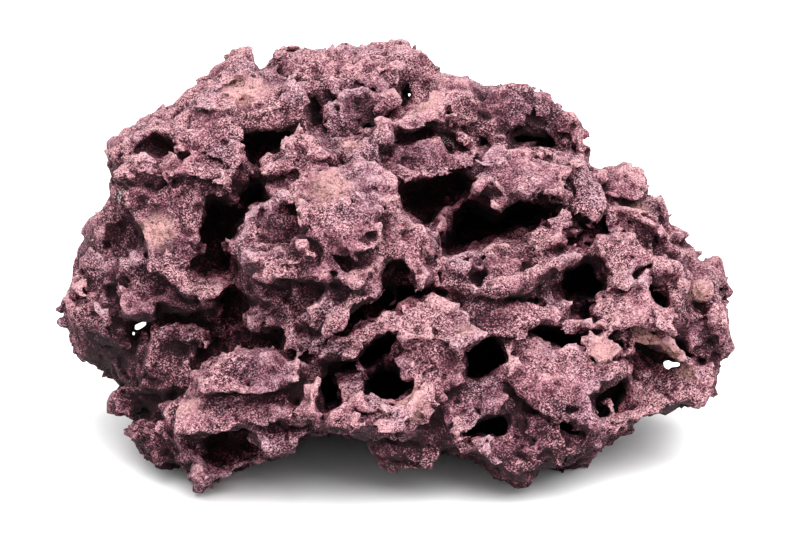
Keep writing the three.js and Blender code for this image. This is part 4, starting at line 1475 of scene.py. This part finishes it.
    def mesh(self, stone: StoneField) -> bpy.types.Object:
        """Turns the field into one closed mesh with few enough triangles.

        Args:
            stone: the rock's field.

        Returns:
            The rock's object, in metres.
        """
        points, quads = stone.surface()
        quads = self.largest_shell(quads, len(points))
        used, quads = np.unique(quads, return_inverse=True)
        points, quads = points[used], quads.reshape(-1, 4)
        rough = bpy.data.meshes.new(self.name)
        rough.from_pydata(points * MM, [], quads)
        piece = bpy.data.objects.new(self.name, rough)
        bpy.context.scene.collection.objects.link(piece)
        thinner = piece.modifiers.new("thinner", "DECIMATE")
        thinner.ratio = min(1.0, self.triangles / (2 * len(quads)))
        thinned = piece.vertex_groups.new(name="thinned")
        seen = self.seen(stone, points)
        thinned.add(np.flatnonzero(~seen).tolist(), 1.0, "REPLACE")
        thinned.add(np.flatnonzero(seen).tolist(), self.seen_share, "REPLACE")
        thinner.vertex_group = thinned.name
        thinner.vertex_group_factor = self.seen_weight
        shown = piece.evaluated_get(bpy.context.evaluated_depsgraph_get())
        piece.data = bpy.data.meshes.new_from_object(shown)
        piece.modifiers.clear()
        bpy.data.meshes.remove(rough)
        piece.data.name = self.name
        piece.data.shade_flat()
        return piece

    def seen(self, stone: StoneField, points: np.ndarray) -> np.ndarray:
        """Tells which points are seen from the front.

        Args:
            stone: the rock's field.
            points: places on the surface.

        Returns:
            True for each point that no other part of the rock hides.
        """
        x, y, depth, _ = SHEET.read(*points.T)
        return depth < FrontDepths(stone).at(x, y) + self.seen_reach

    @staticmethod
    def largest_shell(quads: np.ndarray, count: int) -> np.ndarray:
        """The faces of the largest connected shell.

        Args:
            quads: corners of the faces, by fours.
            count: number of points.

        Returns:
            The faces that are kept.
        """
        label = np.arange(count)
        pairs = np.concatenate([quads[:, [0, 1]], quads[:, [1, 2]], quads[:, [2, 3]]])
        while True:
            lower = np.minimum(label[pairs[:, 0]], label[pairs[:, 1]])
            new = label.copy()
            np.minimum.at(new, pairs[:, 0], lower)
            np.minimum.at(new, pairs[:, 1], lower)
            np.minimum.at(new, label, new)
            new = new[new]
            if np.array_equal(new, label):
                break
            label = new
        shells, sizes = np.unique(label[quads[:, 0]], return_counts=True)
        return quads[label[quads[:, 0]] == shells[np.argmax(sizes)]]

    def mark(self, piece: bpy.types.Object, stone: StoneField, depths: FrontDepths) -> None:
        """Gives the mesh's corners the values that the crust is coloured by.

        Args:
            piece: the rock's object.
            stone: the rock's field.
            depths: depths of the rock's front.
        """
        mesh = piece.data
        points = np.empty(len(mesh.vertices) * 3, np.float32)
        mesh.vertices.foreach_get("co", points)
        points = points.reshape(-1, 3).astype(float) / MM
        normals = np.empty(len(mesh.vertices) * 3, np.float32)
        mesh.vertices.foreach_get("normal", normals)
        normals = normals.reshape(-1, 3)
        full = np.clip(0.5 - stone.values / (2 * stone.step), 0, 1)
        fine = stone.sampled_between(stone.blurred(full, self.fine_reach), points)
        wide = stone.sampled_between(stone.blurred(full, self.wide_reach), points)
        front = FrontDepths(stone)
        layers = {
            # crests and creases, which the crust takes its painted highlight and painted shade from
            Layer.CREST: (0.5 - fine) * self.fine_crest + (0.5 - wide) * self.wide_crest,
            # how open the surface lies, which the painted shade in hollows and holes follows
            Layer.OPENNESS: self.open_space.share(stone, points, normals),
            # which way the surface faces, which the painted light on upward faces follows
            Layer.UP: self.upward(stone, stone.blurred(full, self.up_reach), points),
            Layer.SHADE: np.sum([zone.strength(points, depths) for zone in self.tone_light_and_shade_zones], axis=0),
            Layer.PALE: np.max([spot.strength(points, depths) for spot in self.pale_and_lit_spots], axis=0),
            Layer.TAN: np.max([spot.strength(points, front) for spot in self.tan_spots], axis=0),
            Layer.FLECK: np.max([spot.strength(points, depths) for spot in self.flecks], axis=0),
        }
        for layer, values in layers.items():
            attribute = mesh.attributes.new(layer.value, "FLOAT", "POINT")
            attribute.data.foreach_set("value", values.astype(np.float32))

    @staticmethod
    def upward(stone: StoneField, full: np.ndarray, points: np.ndarray) -> np.ndarray:
        """How far the smoothed surface faces up at each point, from -1 to 1."""
        offsets = 2 * stone.step * np.eye(3)
        slopes = [
            stone.sampled_between(full, points - offset) - stone.sampled_between(full, points + offset)
            for offset in offsets
        ]
        return slopes[2] / np.maximum(np.linalg.norm(slopes, axis=0), TINY)


@dataclass
class Studio:
    """White floor, white room, soft light and the camera."""

    floor_half: float = 8.0
    floor_white: tuple[float, ...] = (0.93, 0.93, 0.93, 1.0)
    floor_roughness: float = 0.9
    room_white: tuple[float, ...] = (1.0, 1.0, 1.0, 1.0)
    room_shown: float = 1.0  # strength of the white that the camera sees
    sky_strength: float = 1.35  # of the white that lights the rock
    sun_strength: float = 5.0
    sun_angle: float = math.radians(60)
    sun_turn: tuple[float, float, float] = (math.radians(26), math.radians(14), 0.0)
    lens: float = 100.0

    def build(self) -> None:
        """Sets up the floor, the light and the camera."""
        self.floor()
        self.light()
        self.camera()

    def floor(self) -> None:
        """Lays the floor that the rock stands on."""
        half = self.floor_half
        mesh = bpy.data.meshes.new("floor")
        corners = [(-half, -half, 0), (half, -half, 0), (half, half, 0), (-half, half, 0)]
        mesh.from_pydata(corners, [], [(0, 1, 2, 3)])
        floor = bpy.data.objects.new("floor", mesh)
        bpy.context.scene.collection.objects.link(floor)
        shader = Shader("white_floor")
        shader.feed(shader.bsdf.inputs["Base Color"], self.floor_white)
        shader.feed(shader.bsdf.inputs["Roughness"], self.floor_roughness)
        mesh.materials.append(shader.material)

    def light(self) -> None:
        """Hangs a wide soft light over the rock, to the front and a little to the right, in a white room."""
        scene = bpy.context.scene
        scene.view_settings.view_transform = "Standard"
        world = bpy.data.worlds.new("white_room")
        world.use_nodes = True
        nodes, links = world.node_tree.nodes, world.node_tree.links
        background = nodes["Background"]
        background.inputs["Color"].default_value = self.room_white
        path = nodes.new("ShaderNodeLightPath")
        strength = nodes.new("ShaderNodeMapRange")
        strength.inputs["To Min"].default_value = self.sky_strength
        strength.inputs["To Max"].default_value = self.room_shown
        links.new(path.outputs["Is Camera Ray"], strength.inputs["Value"])
        links.new(strength.outputs["Result"], background.inputs["Strength"])
        scene.world = world
        sun = bpy.data.lights.new("soft_light", "SUN")
        sun.energy = self.sun_strength
        sun.angle = self.sun_angle
        lamp = bpy.data.objects.new("soft_light", sun)
        lamp.rotation_euler = self.sun_turn
        scene.collection.objects.link(lamp)

    def camera(self) -> None:
        """Puts the camera where the sheet is seen from."""
        camera = bpy.data.objects.new("camera", bpy.data.cameras.new("camera"))
        camera.data.lens = self.lens
        camera.rotation_euler = Euler((math.pi / 2 - SHEET.tilt, 0, 0))
        back = camera.rotation_euler.to_matrix() @ Vector((0, 0, SHEET.distance * MM))
        camera.location = Vector(SHEET.middle) * MM + back
        bpy.context.scene.collection.objects.link(camera)
        bpy.context.scene.camera = camera


def main() -> None:
    """Builds the studio and the rock."""
    logging.basicConfig(level=logging.INFO, format="%(name)s: %(message)s")
    Studio().build()
    piece = ReefRock().build()
    log.info("%s: %d points, %d faces", piece.name, len(piece.data.vertices), len(piece.data.polygons))


if __name__ == "__main__":
    main()
